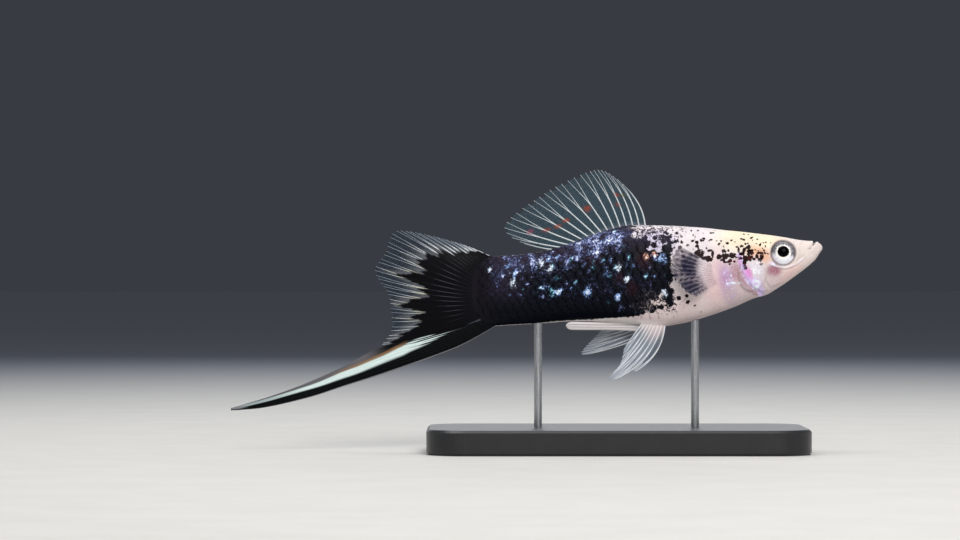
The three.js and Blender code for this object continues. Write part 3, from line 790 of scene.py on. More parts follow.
def blend_colour(tree, share, first, second, kind="MIX"):
    """A Mix node for colours, from first at share 0 to second at share 1."""
    node = add_node(tree, "ShaderNodeMix", data_type="RGBA", blend_type=kind)
    for slot, value in ((0, share), (6, first), (7, second)):
        if hasattr(value, "is_output"):
            join(tree, value, node.inputs[slot])
        else:
            node.inputs[slot].default_value = value
    return node.outputs[2]


def rgba(colour):
    return (float(colour[0]), float(colour[1]), float(colour[2]), 1.0)


# %% A new node group
def new_group(name, inputs, outputs):
    """A shader node group with named sockets, and its input and output nodes."""
    group = bpy.data.node_groups.new(name, "ShaderNodeTree")
    for direction, sockets in (("INPUT", inputs), ("OUTPUT", outputs)):
        for title, kind in sockets:
            group.interface.new_socket(title, in_out=direction, socket_type="NodeSocket" + kind)
    print("group", name, "takes", len(inputs), "values and gives", len(outputs))
    return group, add_node(group, "NodeGroupInput"), add_node(group, "NodeGroupOutput")


# %% The group that breaks paint into pigment cells
# The sizes of the patterns, in cells to a metre.
CLOUDS, LUMPS, GRAINS = 420, 1600, 3900
FLECK_CELLS, MOSAIC_CELLS = 760, 2100
CLOUD_VEIL = tone(206, 190, 206)
BEAD_WHITE = tone(255, 250, 252)
cells, cells_in, cells_out = new_group(
    "Pigment cells and painted glints",
    [("Place", "Vector"), ("Ground", "Color"), ("Black", "Float"), ("Flecks", "Float"),
     ("Hue", "Color"), ("Flash", "Color"), ("Flash Strength", "Float")],
    [("Color", "Color"), ("Roughness", "Float"), ("Height", "Float")])
place = cells_in.outputs["Place"]
cloud = noise_node(cells, place, CLOUDS, 3)
lumps = noise_node(cells, place, LUMPS, 3, 0.7)
grains = noise_node(cells, place, GRAINS, 2)

# The black is full where its thickness and three sizes of grain add up to enough.
ragged = sums(cells, "MULTIPLY_ADD", lumps, 1.7, cells_in.outputs["Black"])
ragged = sums(cells, "MULTIPLY_ADD", grains, 0.7, ragged)
ragged = sums(cells, "MULTIPLY_ADD", cloud, 0.7, ragged)
edged = spread(cells, ragged, 2.15, 2.25)

# Loose flecks are the middles of scattered cells, which start small and grow with Flecks.
scatter = add_node(cells, "ShaderNodeTexVoronoi")
scatter.inputs["Scale"].default_value = FLECK_CELLS
join(cells, place, scatter.inputs["Vector"])
outside = sums(cells, "MULTIPLY_ADD", lumps, 0.7, scatter.outputs["Distance"])
loose = sums(cells, "SUBTRACT", cells_in.outputs["Flecks"], outside)
loose = spread(cells, loose, -0.38, -0.32)
black = sums(cells, "MAXIMUM", edged, loose)

# The pale ground is clouded and beaded.
clouded = spread(cells, cloud, 0.3, 0.75, 0.0, 0.25)
ground = blend_colour(cells, clouded, cells_in.outputs["Ground"], rgba(CLOUD_VEIL), "MULTIPLY")
beaded = spread(cells, grains, 0.52, 0.72, 0.0, 0.3)
ground = blend_colour(cells, beaded, ground, rgba(BEAD_WHITE))
colour = blend_colour(cells, black, ground, cells_in.outputs["Hue"])

# %% Painted glints of silver cells in the same group
# Silver cells light up in steps, from a dull gleam to a white spark, where their strength and
# two sizes of grain add up: glints painted into the colour. The gleam shows only on black.
GLEAM_DULLS = tone(104, 104, 114)
SPARK_WHITE = tone(240, 247, 255)
mosaic = noise_node(cells, place, MOSAIC_CELLS, 4, 0.75)
clumps = spread(cells, cloud, 0.35, 0.65, 0.55, 1.2)
clumped = sums(cells, "MULTIPLY", cells_in.outputs["Flash Strength"], clumps)
level = sums(cells, "MULTIPLY_ADD", mosaic, 1.6, clumped)
level = sums(cells, "MULTIPLY_ADD", grains, 0.8, level)
gleam = sums(cells, "MULTIPLY", spread(cells, level, 1.45, 1.85), black)
dull = blend_colour(cells, 1.0, cells_in.outputs["Flash"], rgba(GLEAM_DULLS), "MULTIPLY")
colour = blend_colour(cells, gleam, colour, dull)
flash = spread(cells, level, 1.72, 1.98)
colour = blend_colour(cells, flash, colour, cells_in.outputs["Flash"])
sparks = spread(cells, level, 1.94, 2.14)
colour = blend_colour(cells, sparks, colour, rgba(SPARK_WHITE))
join(cells, colour, cells_out.inputs["Color"])
join(cells, spread(cells, flash, 0.0, 1.0, 0.5, 0.3), cells_out.inputs["Roughness"])
join(cells, sums(cells, "MULTIPLY_ADD", grains, 0.4, cloud), cells_out.inputs["Height"])
print("nodes in the group:", len(cells.nodes))


# %% Helpers for materials
def new_material(name, roughness=0.4):
    material = bpy.data.materials.new(name)
    material.use_nodes = True
    tree = material.node_tree
    shader = tree.nodes["Principled BSDF"]
    shader.inputs["Roughness"].default_value = roughness
    return material, tree, shader


def read_attribute(tree, name, output="Color"):
    return add_node(tree, "ShaderNodeAttribute", attribute_name=name).outputs[output]


def object_place(tree):
    return add_node(tree, "ShaderNodeTexCoord").outputs["Object"]


def use_group(tree, group, readings):
    """Places a group and hands it the place and the mesh's attributes. Gives its outputs."""
    made = add_node(tree, "ShaderNodeGroup", node_tree=group)
    join(tree, object_place(tree), made.inputs["Place"])
    for socket, attribute, output in readings:
        join(tree, read_attribute(tree, attribute, output), made.inputs[socket])
    return made.outputs


def bump(tree, shader, height, strength, distance):
    """Lets height tilt the surface. distance is in metres."""
    node = add_node(tree, "ShaderNodeBump")
    node.inputs["Strength"].default_value = strength
    node.inputs["Distance"].default_value = distance
    join(tree, height, node.inputs["Height"])
    join(tree, node.outputs["Normal"], shader.inputs["Normal"])


# %% The materials of skin and scales
# The group's input, the attribute it gets and the output that reads it.
FISH_READINGS = [
    ("Ground", "Ground", "Color"), ("Black", "Black", "Fac"), ("Flecks", "Flecks", "Fac"),
    ("Hue", "Hue", "Color"), ("Flash", "Flash", "Color"),
    ("Flash Strength", "FlashStrength", "Fac")]


def fish_material(name, bump_depth):
    material, tree, shader = new_material(name)
    made = use_group(tree, cells, FISH_READINGS)
    join(tree, made["Color"], shader.inputs["Base Color"])
    join(tree, made["Roughness"], shader.inputs["Roughness"])
    bump(tree, shader, made["Height"], 0.5, bump_depth)
    shader.inputs["Specular IOR Level"].default_value = 0.09
    return material


piece("skin", skin, fish_material("living_skin", 0.00005), "pale_skin", "head", "lower_jaw",
      "gill_cover_right", "gill_cover_left", "trunk", "tail_stalk")

# %% [markdown]
# ## Scales, one blank laid many times
# A swordtail's scales lie like roof tiles, in staggered rows, each rooted in front and free
# behind. Here there are twenty-nine along the fish and twenty-four round it. One thin plate is
# modelled flat, with a rounded free edge, and then laid at every root. The plates are bent to
# the body by the same formula that made the skin, so they follow it at any place, and each
# lifts a little towards its free edge, where it covers the roots of the next ones.

# %% Model one plate
SCALES_ALONG, SCALES_ROUND = 29, 24
FIRST_SCALE_X, LAST_SCALE_X = 23.4, -27.4
PLATE_LONG, PLATE_WIDE = 1.62, 1.5
PLATE_THICK = 0.03
PLATE_SUNK, PLATE_LIFT, PLATE_CROWN = 0.03, 0.075, 0.03

bm = bmesh.new()
bmesh.ops.create_grid(bm, x_segments=5, y_segments=6, size=0.5)
bmesh.ops.solidify(bm, geom=bm.faces[:], thickness=0.1)
plate = mesh_from(bm, "plate")
flat = spots_of(plate)
plate_p = flat[:, 0]
plate_q = flat[:, 1]
plate_under = flat[:, 2] < flat[:, 2].mean()
fan = 1 - 0.62 * smooth(plate_p, 0.0, 0.5) * (2 * np.abs(plate_q)) ** 2.2
root_in = 1 - 0.22 * smooth(-plate_p, 0.2, 0.5)
plate_along = plate_p * np.where(plate_p > 0, fan, 1)
plate_across = plate_q * root_in * (1 - 0.12 * smooth(plate_p, 0.25, 0.5))
print("one plate:", len(plate.polygons), "faces")

# %% Lay a plate at every root
roots = []
for row in range(SCALES_ROUND):
    for place_along in range(SCALES_ALONG):
        share = (place_along + 0.5 * (row % 2)) / SCALES_ALONG
        roots.append((FIRST_SCALE_X + (LAST_SCALE_X - FIRST_SCALE_X) * share, row / SCALES_ROUND))
roots = np.array(roots)
draw = np.random.default_rng(7)
roots[:, 0] += draw.uniform(-0.06, 0.06, len(roots))

bm = bmesh.new()
for _ in roots:
    bm.from_mesh(plate)
scales = mesh_from(bm, "scales", outward=False)
which = np.repeat(np.arange(len(roots)), len(plate.vertices))
pitch = (FIRST_SCALE_X - LAST_SCALE_X) / SCALES_ALONG
p, q = np.tile(plate_along, len(roots)), np.tile(plate_across, len(roots))
under = np.tile(plate_under, len(roots))
scale_x = roots[which, 0] - p * pitch * PLATE_LONG
scale_turn = roots[which, 1] + q * PLATE_WIDE / SCALES_ROUND

# On the pale front and under the belly the scales are thin and lie almost flat.
above_belly = body_spot(scale_x, scale_turn, 0)[1] - belly(scale_x)
raised = 0.14 + 0.86 * smooth(12 - scale_x, 0, 6) * smooth(above_belly, 0.6, 3)
lift = PLATE_LIFT * smooth(p, -0.45, 0.5) + PLATE_CROWN * np.cos(q * np.pi)
lift = skin_grow(scale_x) - PLATE_SUNK + (lift - under * PLATE_THICK) * raised
scale_y, scale_h = body_spot(scale_x, scale_turn, lift)
set_spots(scales, scale_x, scale_y, scale_h)
print("scales:", len(roots))

# %% [markdown]
# ## A patch of picture for each scale
# For colours to be stored as pictures, each scale needs its own patch. The patches lie on
# an unrolled skin, along the fish and round it, each at its scale's root and a little smaller
# than the space between roots, so none overlap. The hidden underside shares the patch's corner.

# %% Find the owner of every corner
HIDDEN_SHRINK, SHOWN_SHRINK = 0.06, 0.84
layer = scales.uv_layers.new(name="OFBake")
corner_vertex = np.empty(len(scales.loops), np.int32)
scales.loops.foreach_get("vertex_index", corner_vertex)
face_size = np.empty(len(scales.polygons), np.int32)
scales.polygons.foreach_get("loop_total", face_size)
face_of_corner = np.repeat(np.arange(len(scales.polygons)), face_size)
first_corner = np.concatenate([[0], np.cumsum(face_size)[:-1]])
hidden = np.add.reduceat(under[corner_vertex].astype(int), first_corner) > 0
corner_hidden = hidden[face_of_corner]
owner = which[corner_vertex]
print("faces on the hidden side of a scale:", int(hidden.sum()))

# %% Lay out OFBake
cell_u = 1 / (SCALES_ALONG + 1)
cell_v = 1 / SCALES_ROUND
centre_u = (FIRST_SCALE_X + pitch / 2 - roots[:, 0]) / pitch * cell_u + cell_u / 4
centre_v = (roots[:, 1] + 0.5 / SCALES_ROUND) % 1
shrink = np.where(corner_hidden, HIDDEN_SHRINK, SHOWN_SHRINK)
corner_u = centre_u[owner] + p[corner_vertex] * cell_u * shrink - corner_hidden * 0.46 * cell_u
corner_v = centre_v[owner] + q[corner_vertex] * cell_v * shrink
layer.data.foreach_set("uv", np.stack([corner_u, corner_v], -1).astype(np.float32).ravel())
print("corners laid out:", len(corner_u))

# %% The painted flash of each scale
# Three scales in ten stay dull. The others get a painted gleam in their middle, on the black of
# the flank.
DULL_SHARE = 0.3
SLATE_BLUE = tone(120, 120, 160)
root_x = roots[:, 0]
own = draw.random(len(roots))
root_h = body_spot(root_x, roots[:, 1], 0.0)[1]
own_strong = np.where(own > DULL_SHARE, 0.42 + (own - DULL_SHARE) * 0.8, 0.03)
own_strong *= smooth(share_up(root_x, root_h), 0.2, 0.55)
own_strong *= smooth(black_front(root_h) - root_x, -1, 2) * (0.35 + 0.65 * smooth(root_x, -27, -20))
hues = np.array([LAVENDER, SKY, TEAL, SLATE_BLUE])[draw.integers(0, 4, len(roots))]
spot = np.exp(-(((p - 0.08) / 0.17) ** 2) - (q / 0.23) ** 2)
hang_paint(scales, scale_x, scale_y, scale_h, (hues[which], own_strong[which] * spot))
piece("scales", scales, fish_material("living_scales", 0.00003), "marbled_skin")

# %% [markdown]
# ## The eyes
# A fish's eye has no lids. It is a nearly round ball, a little flat, that sits in a rimmed
# socket. Seen from the side it is a set of rings: the black pupil, a thin bright ring, and
# an iris that is silver below and grey above. The pupil looks slightly up, so the inner rings
# are shifted that way and the outer ones are not. Each vertex is told which ring it is in, and
# a colour ramp turns that into paint, so the ring edges stay crisp.

# %% Colours along a ramp
def ramp_node(tree, value, stops):
    """A colour ramp. stops are pairs of a place from 0 to 1 and a colour."""
    node = add_node(tree, "ShaderNodeValToRGB")
    while len(node.color_ramp.elements) < len(stops):
        node.color_ramp.elements.new(0.5)
    for element, (where, colour) in zip(node.color_ramp.elements, stops):
        element.position = where
        element.color = rgba(colour)
    join(tree, value, node.inputs["Fac"])
    return node.outputs["Color"]


# %% Rings of the iris
PUPIL = tone(4, 4, 6)
BRIGHT_RING = tone(255, 252, 246)
IRIS_GREY = tone(128, 128, 136)
IRIS_PALE_GREY = tone(150, 146, 152)
IRIS_SILVER = tone(236, 236, 244)
UPPER_EDGE = tone(134, 122, 120)
LOWER_EDGE = tone(196, 188, 188)
BALL_GREY = tone(140, 130, 128)
SPECK_ABOVE = tone(96, 92, 98)
SPECK_ALL = tone(90, 88, 98)
IRIS_GRAINS = 3600

bands, bands_in, bands_out = new_group(
    "Iris bands", [("Ring", "Float"), ("Up", "Float"), ("Place", "Vector")],
    [("Color", "Color"), ("Roughness", "Float")])
upper = ramp_node(bands, bands_in.outputs["Ring"], [
    (0.0, PUPIL), (0.48, PUPIL), (0.5, BRIGHT_RING), (0.63, BRIGHT_RING), (0.7, IRIS_GREY),
    (0.8, IRIS_PALE_GREY), (0.9, IRIS_GREY), (0.97, UPPER_EDGE)])
lower = ramp_node(bands, bands_in.outputs["Ring"], [
    (0.0, PUPIL), (0.48, PUPIL), (0.5, BRIGHT_RING), (0.6, BRIGHT_RING), (0.68, IRIS_SILVER),
    (0.93, IRIS_SILVER), (0.97, LOWER_EDGE), (1.0, BALL_GREY)])
speck = noise_node(bands, bands_in.outputs["Place"], IRIS_GRAINS, 3, 0.6)
side_of = sums(bands, "MULTIPLY_ADD", speck, 0.5, bands_in.outputs["Up"])
specked = spread(bands, speck, 0.35, 0.65, 0.0, 0.6)
upper = blend_colour(bands, specked, upper, rgba(SPECK_ABOVE), "MULTIPLY")
iris = blend_colour(bands, spread(bands, side_of, -0.12, 0.25), lower, upper)
specked = spread(bands, speck, 0.42, 0.72, 0.0, 0.3)
iris = blend_colour(bands, specked, iris, rgba(SPECK_ALL), "MULTIPLY")
join(bands, iris, bands_out.inputs["Color"])
join(bands, spread(bands, speck, 0.3, 0.7, 0.16, 0.3), bands_out.inputs["Roughness"])

# %% The gloss of the eye and its painted glow
# The silver of a real iris throws light back. Here the paint instead glows a little in its own
# colour by emission, which is painted light.
eye_finish, tree, shader = new_material("eye_gloss_and_glow", 0.2)
made = use_group(tree, bands, [("Ring", "Ring", "Fac"), ("Up", "Up", "Fac")])
join(tree, made["Color"], shader.inputs["Base Color"])
join(tree, made["Roughness"], shader.inputs["Roughness"])
# Painted light: the iris paint glows faintly by emission.
join(tree, made["Color"], shader.inputs["Emission Color"])
shader.inputs["Emission Strength"].default_value = 0.2
shader.inputs["Specular IOR Level"].default_value = 0.02
shader.inputs["Coat Weight"].default_value = 0.02
shader.inputs["Coat Roughness"].default_value = 0.04
print("finish of the eyes:", eye_finish.name)

# %% Set two balls in their sockets
# The sides of the fish, and which way along y each one lies.
SIDES = (("right", -1), ("left", 1))
LENS_HIGH = 0.07
GAZE = np.array([-0.04, 0.42]) / EYE["radius"]

for side_name, side in SIDES:
    bm = bmesh.new()
    bmesh.ops.create_uvsphere(bm, u_segments=64, v_segments=80, radius=1,
                              matrix=Matrix.Rotation(math.pi / 2, 4, "X"))
    eye = mesh_from(bm, "eye_" + side_name)
    ball = spots_of(eye)
    out = ball[:, 1] * side
    plain = np.hypot(ball[:, 0], ball[:, 2])
    lens = LENS_HIGH * np.exp(-(plain**2) / 0.2) * smooth(out, 0.2, 0.8)
    set_spots(eye, EYE["x"] + ball[:, 0] * EYE["radius"],
              side * (EYE["side"] + EYE["radius"] * (EYE["flat"] * out + lens)),
              EYE["h"] + ball[:, 2] * EYE["radius"])
    lean = 1 - smooth(plain, 0.1, 1.05)
    ring = np.hypot(ball[:, 0] - GAZE[0] * lean, ball[:, 2] - GAZE[1] * lean)
    hang_value(eye, "Ring", np.where(out > 0, ring, 1.0))
    hang_value(eye, "Up", ball[:, 2] + 0.12 * ball[:, 0])
    piece("eyeball_" + side_name, eye, eye_finish, "eye", "eye_" + side_name)

# %% [markdown]
# ## Fins: a web and its rays
# A fin is a film of clear skin stretched over bony rays. The rays start at the root as single
# rods, and most split once or twice on their way out. Any place on a fin is told by two
# shares: across, from the first ray to the last, and out, from root to margin. One function
# turns the shares into a place, for web and rays alike. The web is a grid moved by it, and
# each ray is a capped rod, cut into rings, bent along it.


# %% A place on a fin
def fin(root, margin, rays, bow, sway, tips=None, at=(0, 0), notch=0.03):
    """The plan of a fin. rays counts the spaces between its rays, tips says where each ray ends
    on the margin, bow bends the rays, sway sets y and notch cuts the margin between rays."""
    shift = np.array(at)
    if tips is None:
        tips = [(0, 0), (0.5, 0.5), (1, 1)]
    return {"root": bent(np.array(root) + shift), "margin": bent(np.array(margin) + shift),
            "rays": rays, "bow": bow, "sway": sway, "tips": through(tips), "notch": notch}


def fin_spot(fan, across, out):
    """x, y and height at the shares across and out."""
    start = fan["root"](across)
    ray = fan["margin"](fan["tips"](across)) - start
    bend = fan["bow"](across) * 4 * out * (1 - out)
    x = start[:, 0] + ray[:, 0] * out + ray[:, 1] * bend
    h = start[:, 1] + ray[:, 1] * out - ray[:, 0] * bend
    away = out * np.hypot(ray[:, 0], ray[:, 1])
    return x, fan["sway"](across, out, away), h


# %% The web
def web_mesh(name, fan, thick, rows=44, columns_each=6):
    """The film of a fin, closed, and the two shares of each of its vertices."""
    bm = bmesh.new()
    bmesh.ops.create_grid(bm, x_segments=fan["rays"] * columns_each, y_segments=rows, size=0.5)
    bmesh.ops.solidify(bm, geom=bm.faces[:], thickness=0.1)
    mesh = mesh_from(bm, name)
    flat = spots_of(mesh)
    across, out = np.clip(flat[:, 0] + 0.5, 0, 1), np.clip(flat[:, 1] + 0.5, 0, 1)
    between = np.sin(across * fan["rays"] * np.pi) ** 2
    reach = out * (1 - fan["notch"] * between * out**6)
    x, y, h = fin_spot(fan, across, reach)
    side = np.where(flat[:, 2] > flat[:, 2].mean(), 0.5, -0.5)
    taper = 1.4 - 0.8 * out
    set_spots(mesh, x, y + side * thick * taper, h)
    return mesh, across, out


# %% One rod
ROD_SIDES, ROD_RINGS = 6, 14
bm = bmesh.new()
bmesh.ops.create_cone(bm, cap_ends=True, segments=ROD_SIDES, radius1=1, radius2=1, depth=1)
long_edges = [edge for edge in bm.edges if abs(edge.verts[0].co.z - edge.verts[1].co.z) > 0.5]
bmesh.ops.subdivide_edges(bm, edges=long_edges, cuts=ROD_RINGS)
rod = mesh_from(bm, "rod")
rod_flat = spots_of(rod)
rod_share = rod_flat[:, 2] + 0.5
rod_angle = np.arctan2(rod_flat[:, 1], rod_flat[:, 0])
rod_order = np.argsort(rod_share, kind="stable")
print("one rod:", len(rod.polygons), "faces")

# A rod's middle line is also read a little before and behind each ring, to find its way.
LOOK_AHEAD = 0.04
rod_ease = smooth(rod_share, -0.25, 1.1)
rod_ease = (rod_ease - rod_ease.min()) / (rod_ease.max() - rod_ease.min())
STEPS = np.linspace(-0.05, 1.05, 45)
EASED = np.interp(STEPS, rod_share[rod_order], rod_ease[rod_order])


# %% Bend rods along a fin
def rods_mesh(name, fan, rods):
    """Joined rods. Each is across, out and radius, every one at its start and its end."""
    bm = bmesh.new()
    for _ in rods:
        bm.from_mesh(rod)
    mesh = mesh_from(bm, name, outward=False)
    table = np.repeat(np.array(rods, float), len(rod.vertices), axis=0)
    share = np.tile(rod_share, len(rods))
    angle = np.tile(rod_angle, len(rods))

    def middle_line(offset):
        t = np.clip(share + offset, STEPS[0], STEPS[-1])
        across = table[:, 0] + (table[:, 1] - table[:, 0]) * np.interp(t, STEPS, EASED)
        out = table[:, 2] + (table[:, 3] - table[:, 2]) * t
        return across, out, np.stack(fin_spot(fan, across, out), -1)

    across, out, spot = middle_line(0)
    way = middle_line(LOOK_AHEAD)[2] - middle_line(-LOOK_AHEAD)[2]
    way /= np.linalg.norm(way, axis=1)[:, None]
    sideways = np.array([0.0, 1.0, 0.0]) - way * way[:, 1:2]
    sideways /= np.linalg.norm(sideways, axis=1)[:, None]
    other = np.cross(way, sideways)
    radius = table[:, 4] + (table[:, 5] - table[:, 4]) * share
    spot += radius[:, None] * (np.cos(angle)[:, None] * sideways + np.sin(angle)[:, None] * other)
    set_spots(mesh, spot[:, 0], spot[:, 1], spot[:, 2])
    turn_outward(mesh)
    return mesh, across, out


# %% Rays that split
TIP_SHARE = 0.36


def branching(rays, thick, splits, first_split, fan_out, seed):
    """The rods of a fin whose rays split. fan_out is how far a split spreads, in ray spaces."""
    pick = np.random.default_rng(seed)
    rods = []
    for number in range(rays + 1):
        at = number / rays
        parts = [(at, at, 0.0, 1.0, thick)]
        for level in range(splits):
            next_parts = []
            for start, end, low, high, wide in parts:
                split_at = first_split if level == 0 else 0.5
                split = low + (1 - low) * split_at + pick.uniform(-0.05, 0.05)
                spread_by = fan_out / rays / (1.6**level) * 0.5
                middle = thick * (1 - 0.55 * split)
                here = start + (end - start) * (split - low) / (1 - low)
                rods.append((start, here, low, split, wide, middle))
                for turn in (-1, 1):
                    tip = np.clip(end + turn * spread_by, 0, 1)
                    next_parts.append((here, tip, split - 0.02, 1.0, middle * 0.85))
            parts = next_parts
        rods += [part + (thick * TIP_SHARE,) for part in parts]
    return rods


print("rods of a single ray that splits twice:", len(branching(1, 0.1, 2, 0.4, 0.5, 1)) // 2)


# %% [markdown]
# ## The finish of a fin
# Fin tissue is clear and slightly milky, with pigment lying in it. Its paint is worked out from
# the two shares and hung on as a tint and a veil, which is how much the tissue hides. Fine
# streaks run with the rays, and every ray is ringed by the joints of its small bones.

# %% The group for fin tissue
STREAKS_ACROSS, STREAKS_OUT = 60.0, 5.0
JOINT_WAVES = 260.0
STREAK_GREY = tone(150, 156, 166)
web_cells, web_in, web_out = new_group(
    "Fin tissue", [("Place", "Vector"), ("Tint", "Color"), ("Veil", "Float"), ("Across", "Float"),
                   ("Out", "Float")],
    [("Color", "Color"), ("Alpha", "Float"), ("Height", "Float")])
lay_out = add_node(web_cells, "ShaderNodeCombineXYZ")
for axis, share_name, many in ((0, "Across", STREAKS_ACROSS), (1, "Out", STREAKS_OUT)):
    stretched = sums(web_cells, "MULTIPLY", web_in.outputs[share_name], many)
    join(web_cells, stretched, lay_out.inputs[axis])
streaks = noise_node(web_cells, lay_out.outputs[0], 2.4, 3)
streaked = spread(web_cells, streaks, 0.25, 0.75, 0.0, 0.4)
tint = blend_colour(web_cells, streaked, web_in.outputs["Tint"], rgba(STREAK_GREY), "MULTIPLY")
join(web_cells, tint, web_out.inputs["Color"])
joints = sums(web_cells, "SINE", sums(web_cells, "MULTIPLY", web_in.outputs["Out"], JOINT_WAVES))
join(web_cells, sums(web_cells, "MULTIPLY_ADD", joints, 0.25, streaks), web_out.inputs["Height"])
uneven_veil = spread(web_cells, streaks, 0.2, 0.8, 0.8, 1.2)
veil = sums(web_cells, "MULTIPLY", web_in.outputs["Veil"], uneven_veil, clamp=True)
join(web_cells, veil, web_out.inputs["Alpha"])

# %% The fin finish
FIN_READINGS = [("Tint", "Tint", "Color"), ("Veil", "Veil", "Fac"), ("Across", "Across", "Fac"),
                ("Out", "Out", "Fac")]


def fin_material(name):
    material, tree, shader = new_material(name, 0.36)
    made = use_group(tree, web_cells, FIN_READINGS)
    join(tree, made["Color"], shader.inputs["Base Color"])
    join(tree, made["Alpha"], shader.inputs["Alpha"])
    bump(tree, shader, made["Height"], 0.35, 0.00004)
    shader.inputs["Specular IOR Level"].default_value = 0.06
    return material


web_finish = fin_material("clear_web")
ray_finish = fin_material("ray_bone")
print("fin finishes:", web_finish.name, "and", ray_finish.name)


# %% Hand over a fin
def hang_fin(mesh, across, out, paint):
    """Hangs paint(across, out), which gives a tint and a veil, on a web or on rods."""
    tint, veil = paint(across, out)
    hang_colour(mesh, "Tint", tint)
    hang_value(mesh, "Veil", veil)
    hang_value(mesh, "Across", across)
    hang_value(mesh, "Out", out)


def fin_pieces(kind, end, web, rods, web_paint, ray_paint, slot="clear_fin"):
    """Adds a fin's web, in place of the frame's fin, and its rays. web and rods are meshes with
    their shares."""
    hang_fin(*web, web_paint)
    hang_fin(*rods, ray_paint)
    piece(kind + "_web" + end, web[0], web_finish, slot, kind + "_fin" + end)
    piece(kind + "_rays" + end, rods[0], ray_finish, slot)


# %% [markdown]
# ## The dorsal fin
# The dorsal is a tall sail of fifteen rays that lean back. Its film is a clear teal grey, the
# rays are white, and a loose row of small spots, most of them red, lies half way up.

# %% The plan of the sail
DORSAL_SPACES = 14
dorsal = fin(
    root=[(5.7, 19.6), (2.6, 19.5), (-2.4, 18.5), (-6.5, 16.9), (-10.7, 15.3)],
    margin=[(1.6, 28.1), (-0.4, 29.9), (-3.3, 31.4), (-6.7, 30.7), (-13.2, 27.5), (-20, 22.9),
            (-22.4, 20.3), (-21.6, 18.3), (-18.6, 16.7)],
    rays=DORSAL_SPACES, notch=0.045,
    bow=lambda across: 0.1 * (1 - across) ** 2 - 0.03 * across,
    sway=lambda across, out, away: 0.5 * out * np.sin(2.2 * np.pi * across),
    tips=[(0, 0), (0.07, 0.08), (0.143, 0.135), (0.214, 0.18), (0.286, 0.225), (0.357, 0.28),
          (0.43, 0.36), (0.5, 0.44), (0.571, 0.515), (0.643, 0.59), (0.714, 0.667), (0.786, 0.756),
          (0.857, 0.83), (0.93, 0.9), (1, 1)])
print("rays of the dorsal fin:", DORSAL_SPACES + 1)

# %% Its film, rays and spots
DORSAL_FILM = tone(66, 88, 100)
DORSAL_FOOT = tone(150, 156, 168)
RAY_TIP_GREY = tone(120, 134, 144)
RAY_WHITE = tone(236, 242, 244)
SPOT_RED = tone(168, 78, 50)
SPOT_OLIVE = tone(120, 116, 40)
SPOT_PINK = tone(190, 90, 120)
DORSAL_SPOTS = [
    ((0.64, 0.47), SPOT_RED, 1.0), ((0.715, 0.46), SPOT_RED, 0.9), ((0.78, 0.51), SPOT_RED, 0.8),
    ((0.84, 0.66), SPOT_PINK, 0.6), ((0.46, 0.49), SPOT_RED, 0.8), ((0.47, 0.46), SPOT_RED, 0.5),
    ((0.2, 0.56), SPOT_RED, 0.8), ((0.23, 0.4), SPOT_RED, 0.6), ((0.135, 0.57), SPOT_OLIVE, 0.7)]


def dorsal_spots(across, out, tint, veil, much):
    for (spot_across, spot_out), colour, strong in DORSAL_SPOTS:
        weight = strong * much * patch(across, out, (spot_across, spot_out), (0.022, 0.034), 0.6)
        lay(tint, weight, colour)
        veil = np.maximum(veil, 0.8 * weight)
    return tint, veil


def dorsal_web_paint(across, out):
    tint = np.tile(DORSAL_FILM, (len(out), 1))
    veil = 0.44 - 0.12 * smooth(out, 0.5, 1.0) + 0.3 * (1 - smooth(out, 0.0, 0.14))
    lay(tint, 1 - smooth(out, 0.0, 0.14), DORSAL_FOOT)
    return dorsal_spots(across, out, tint, veil, 1.0)


def dorsal_ray_paint(across, out):
    tint = np.tile(RAY_WHITE, (len(out), 1))
    lay(tint, 0.5 * smooth(out, 0.4, 1.0), RAY_TIP_GREY)
    return dorsal_spots(across, out, tint, 0.95 - 0.25 * smooth(out, 0.5, 1.0), 0.7)


dorsal_rods = branching(DORSAL_SPACES, 0.17, 1, 0.5, 0.5, seed=3)
fin_pieces("dorsal", "", web_mesh("dorsal_web", dorsal, 0.1),
           rods_mesh("dorsal_rays", dorsal, dorsal_rods), dorsal_web_paint, dorsal_ray_paint)

# %% [markdown]
# ## The tail fan
# The fan is black at its root, as if ink had run out along the rays and stopped at a ragged
# edge. Beyond it the rays are silver grey with dark film between them, whitest just past the
# ink, cream in the middle and brightest of all along the upper edge.

# %% The plan of the fan
TAIL_SPACES = 24
tail_fan = fin(
    root=[(-24.6, 13.6), (-27.2, 11.4), (-28.2, 8), (-27.8, 4.8), (-26.2, 2.4)],
    margin=[(-25.9, 14.4), (-29.4, 16), (-35.4, 17.8), (-41.4, 19.1), (-44.3, 19.1), (-45.5, 17.4),
            (-46.3, 14.8), (-48.4, 11.6), (-47.6, 9.4), (-45.9, 6.9), (-45.3, 4.4), (-45.0, 0.6),
            (-45.4, -1.3), (-47.0, -3.5)],
    rays=TAIL_SPACES, notch=0.03,
    bow=lambda across: 0.05 * np.cos(np.pi * across),
    sway=lambda across, out, away: 0.7 * out * np.sin(2.6 * np.pi * across))
print("rays of the tail fan:", TAIL_SPACES + 1)

# %% The ragged edge of its ink
ink_edge = through([
    (0, 0.8), (0.06, 0.74), (0.12, 0.61), (0.21, 0.47), (0.25, 0.52), (0.33, 0.51), (0.36, 0.56),
    (0.42, 0.53), (0.47, 0.61), (0.5, 0.66), (0.53, 0.68), (0.55, 0.61), (0.57, 0.57),
    (0.59, 0.68), (0.62, 0.79), (0.635, 0.66), (0.65, 0.56), (0.69, 0.54), (0.72, 0.55),
    (0.74, 0.63), (0.78, 0.79), (0.81, 0.9), (0.83, 0.67), (0.87, 0.76), (0.89, 0.71),
    (0.93, 0.83), (0.96, 0.9), (1, 1)])
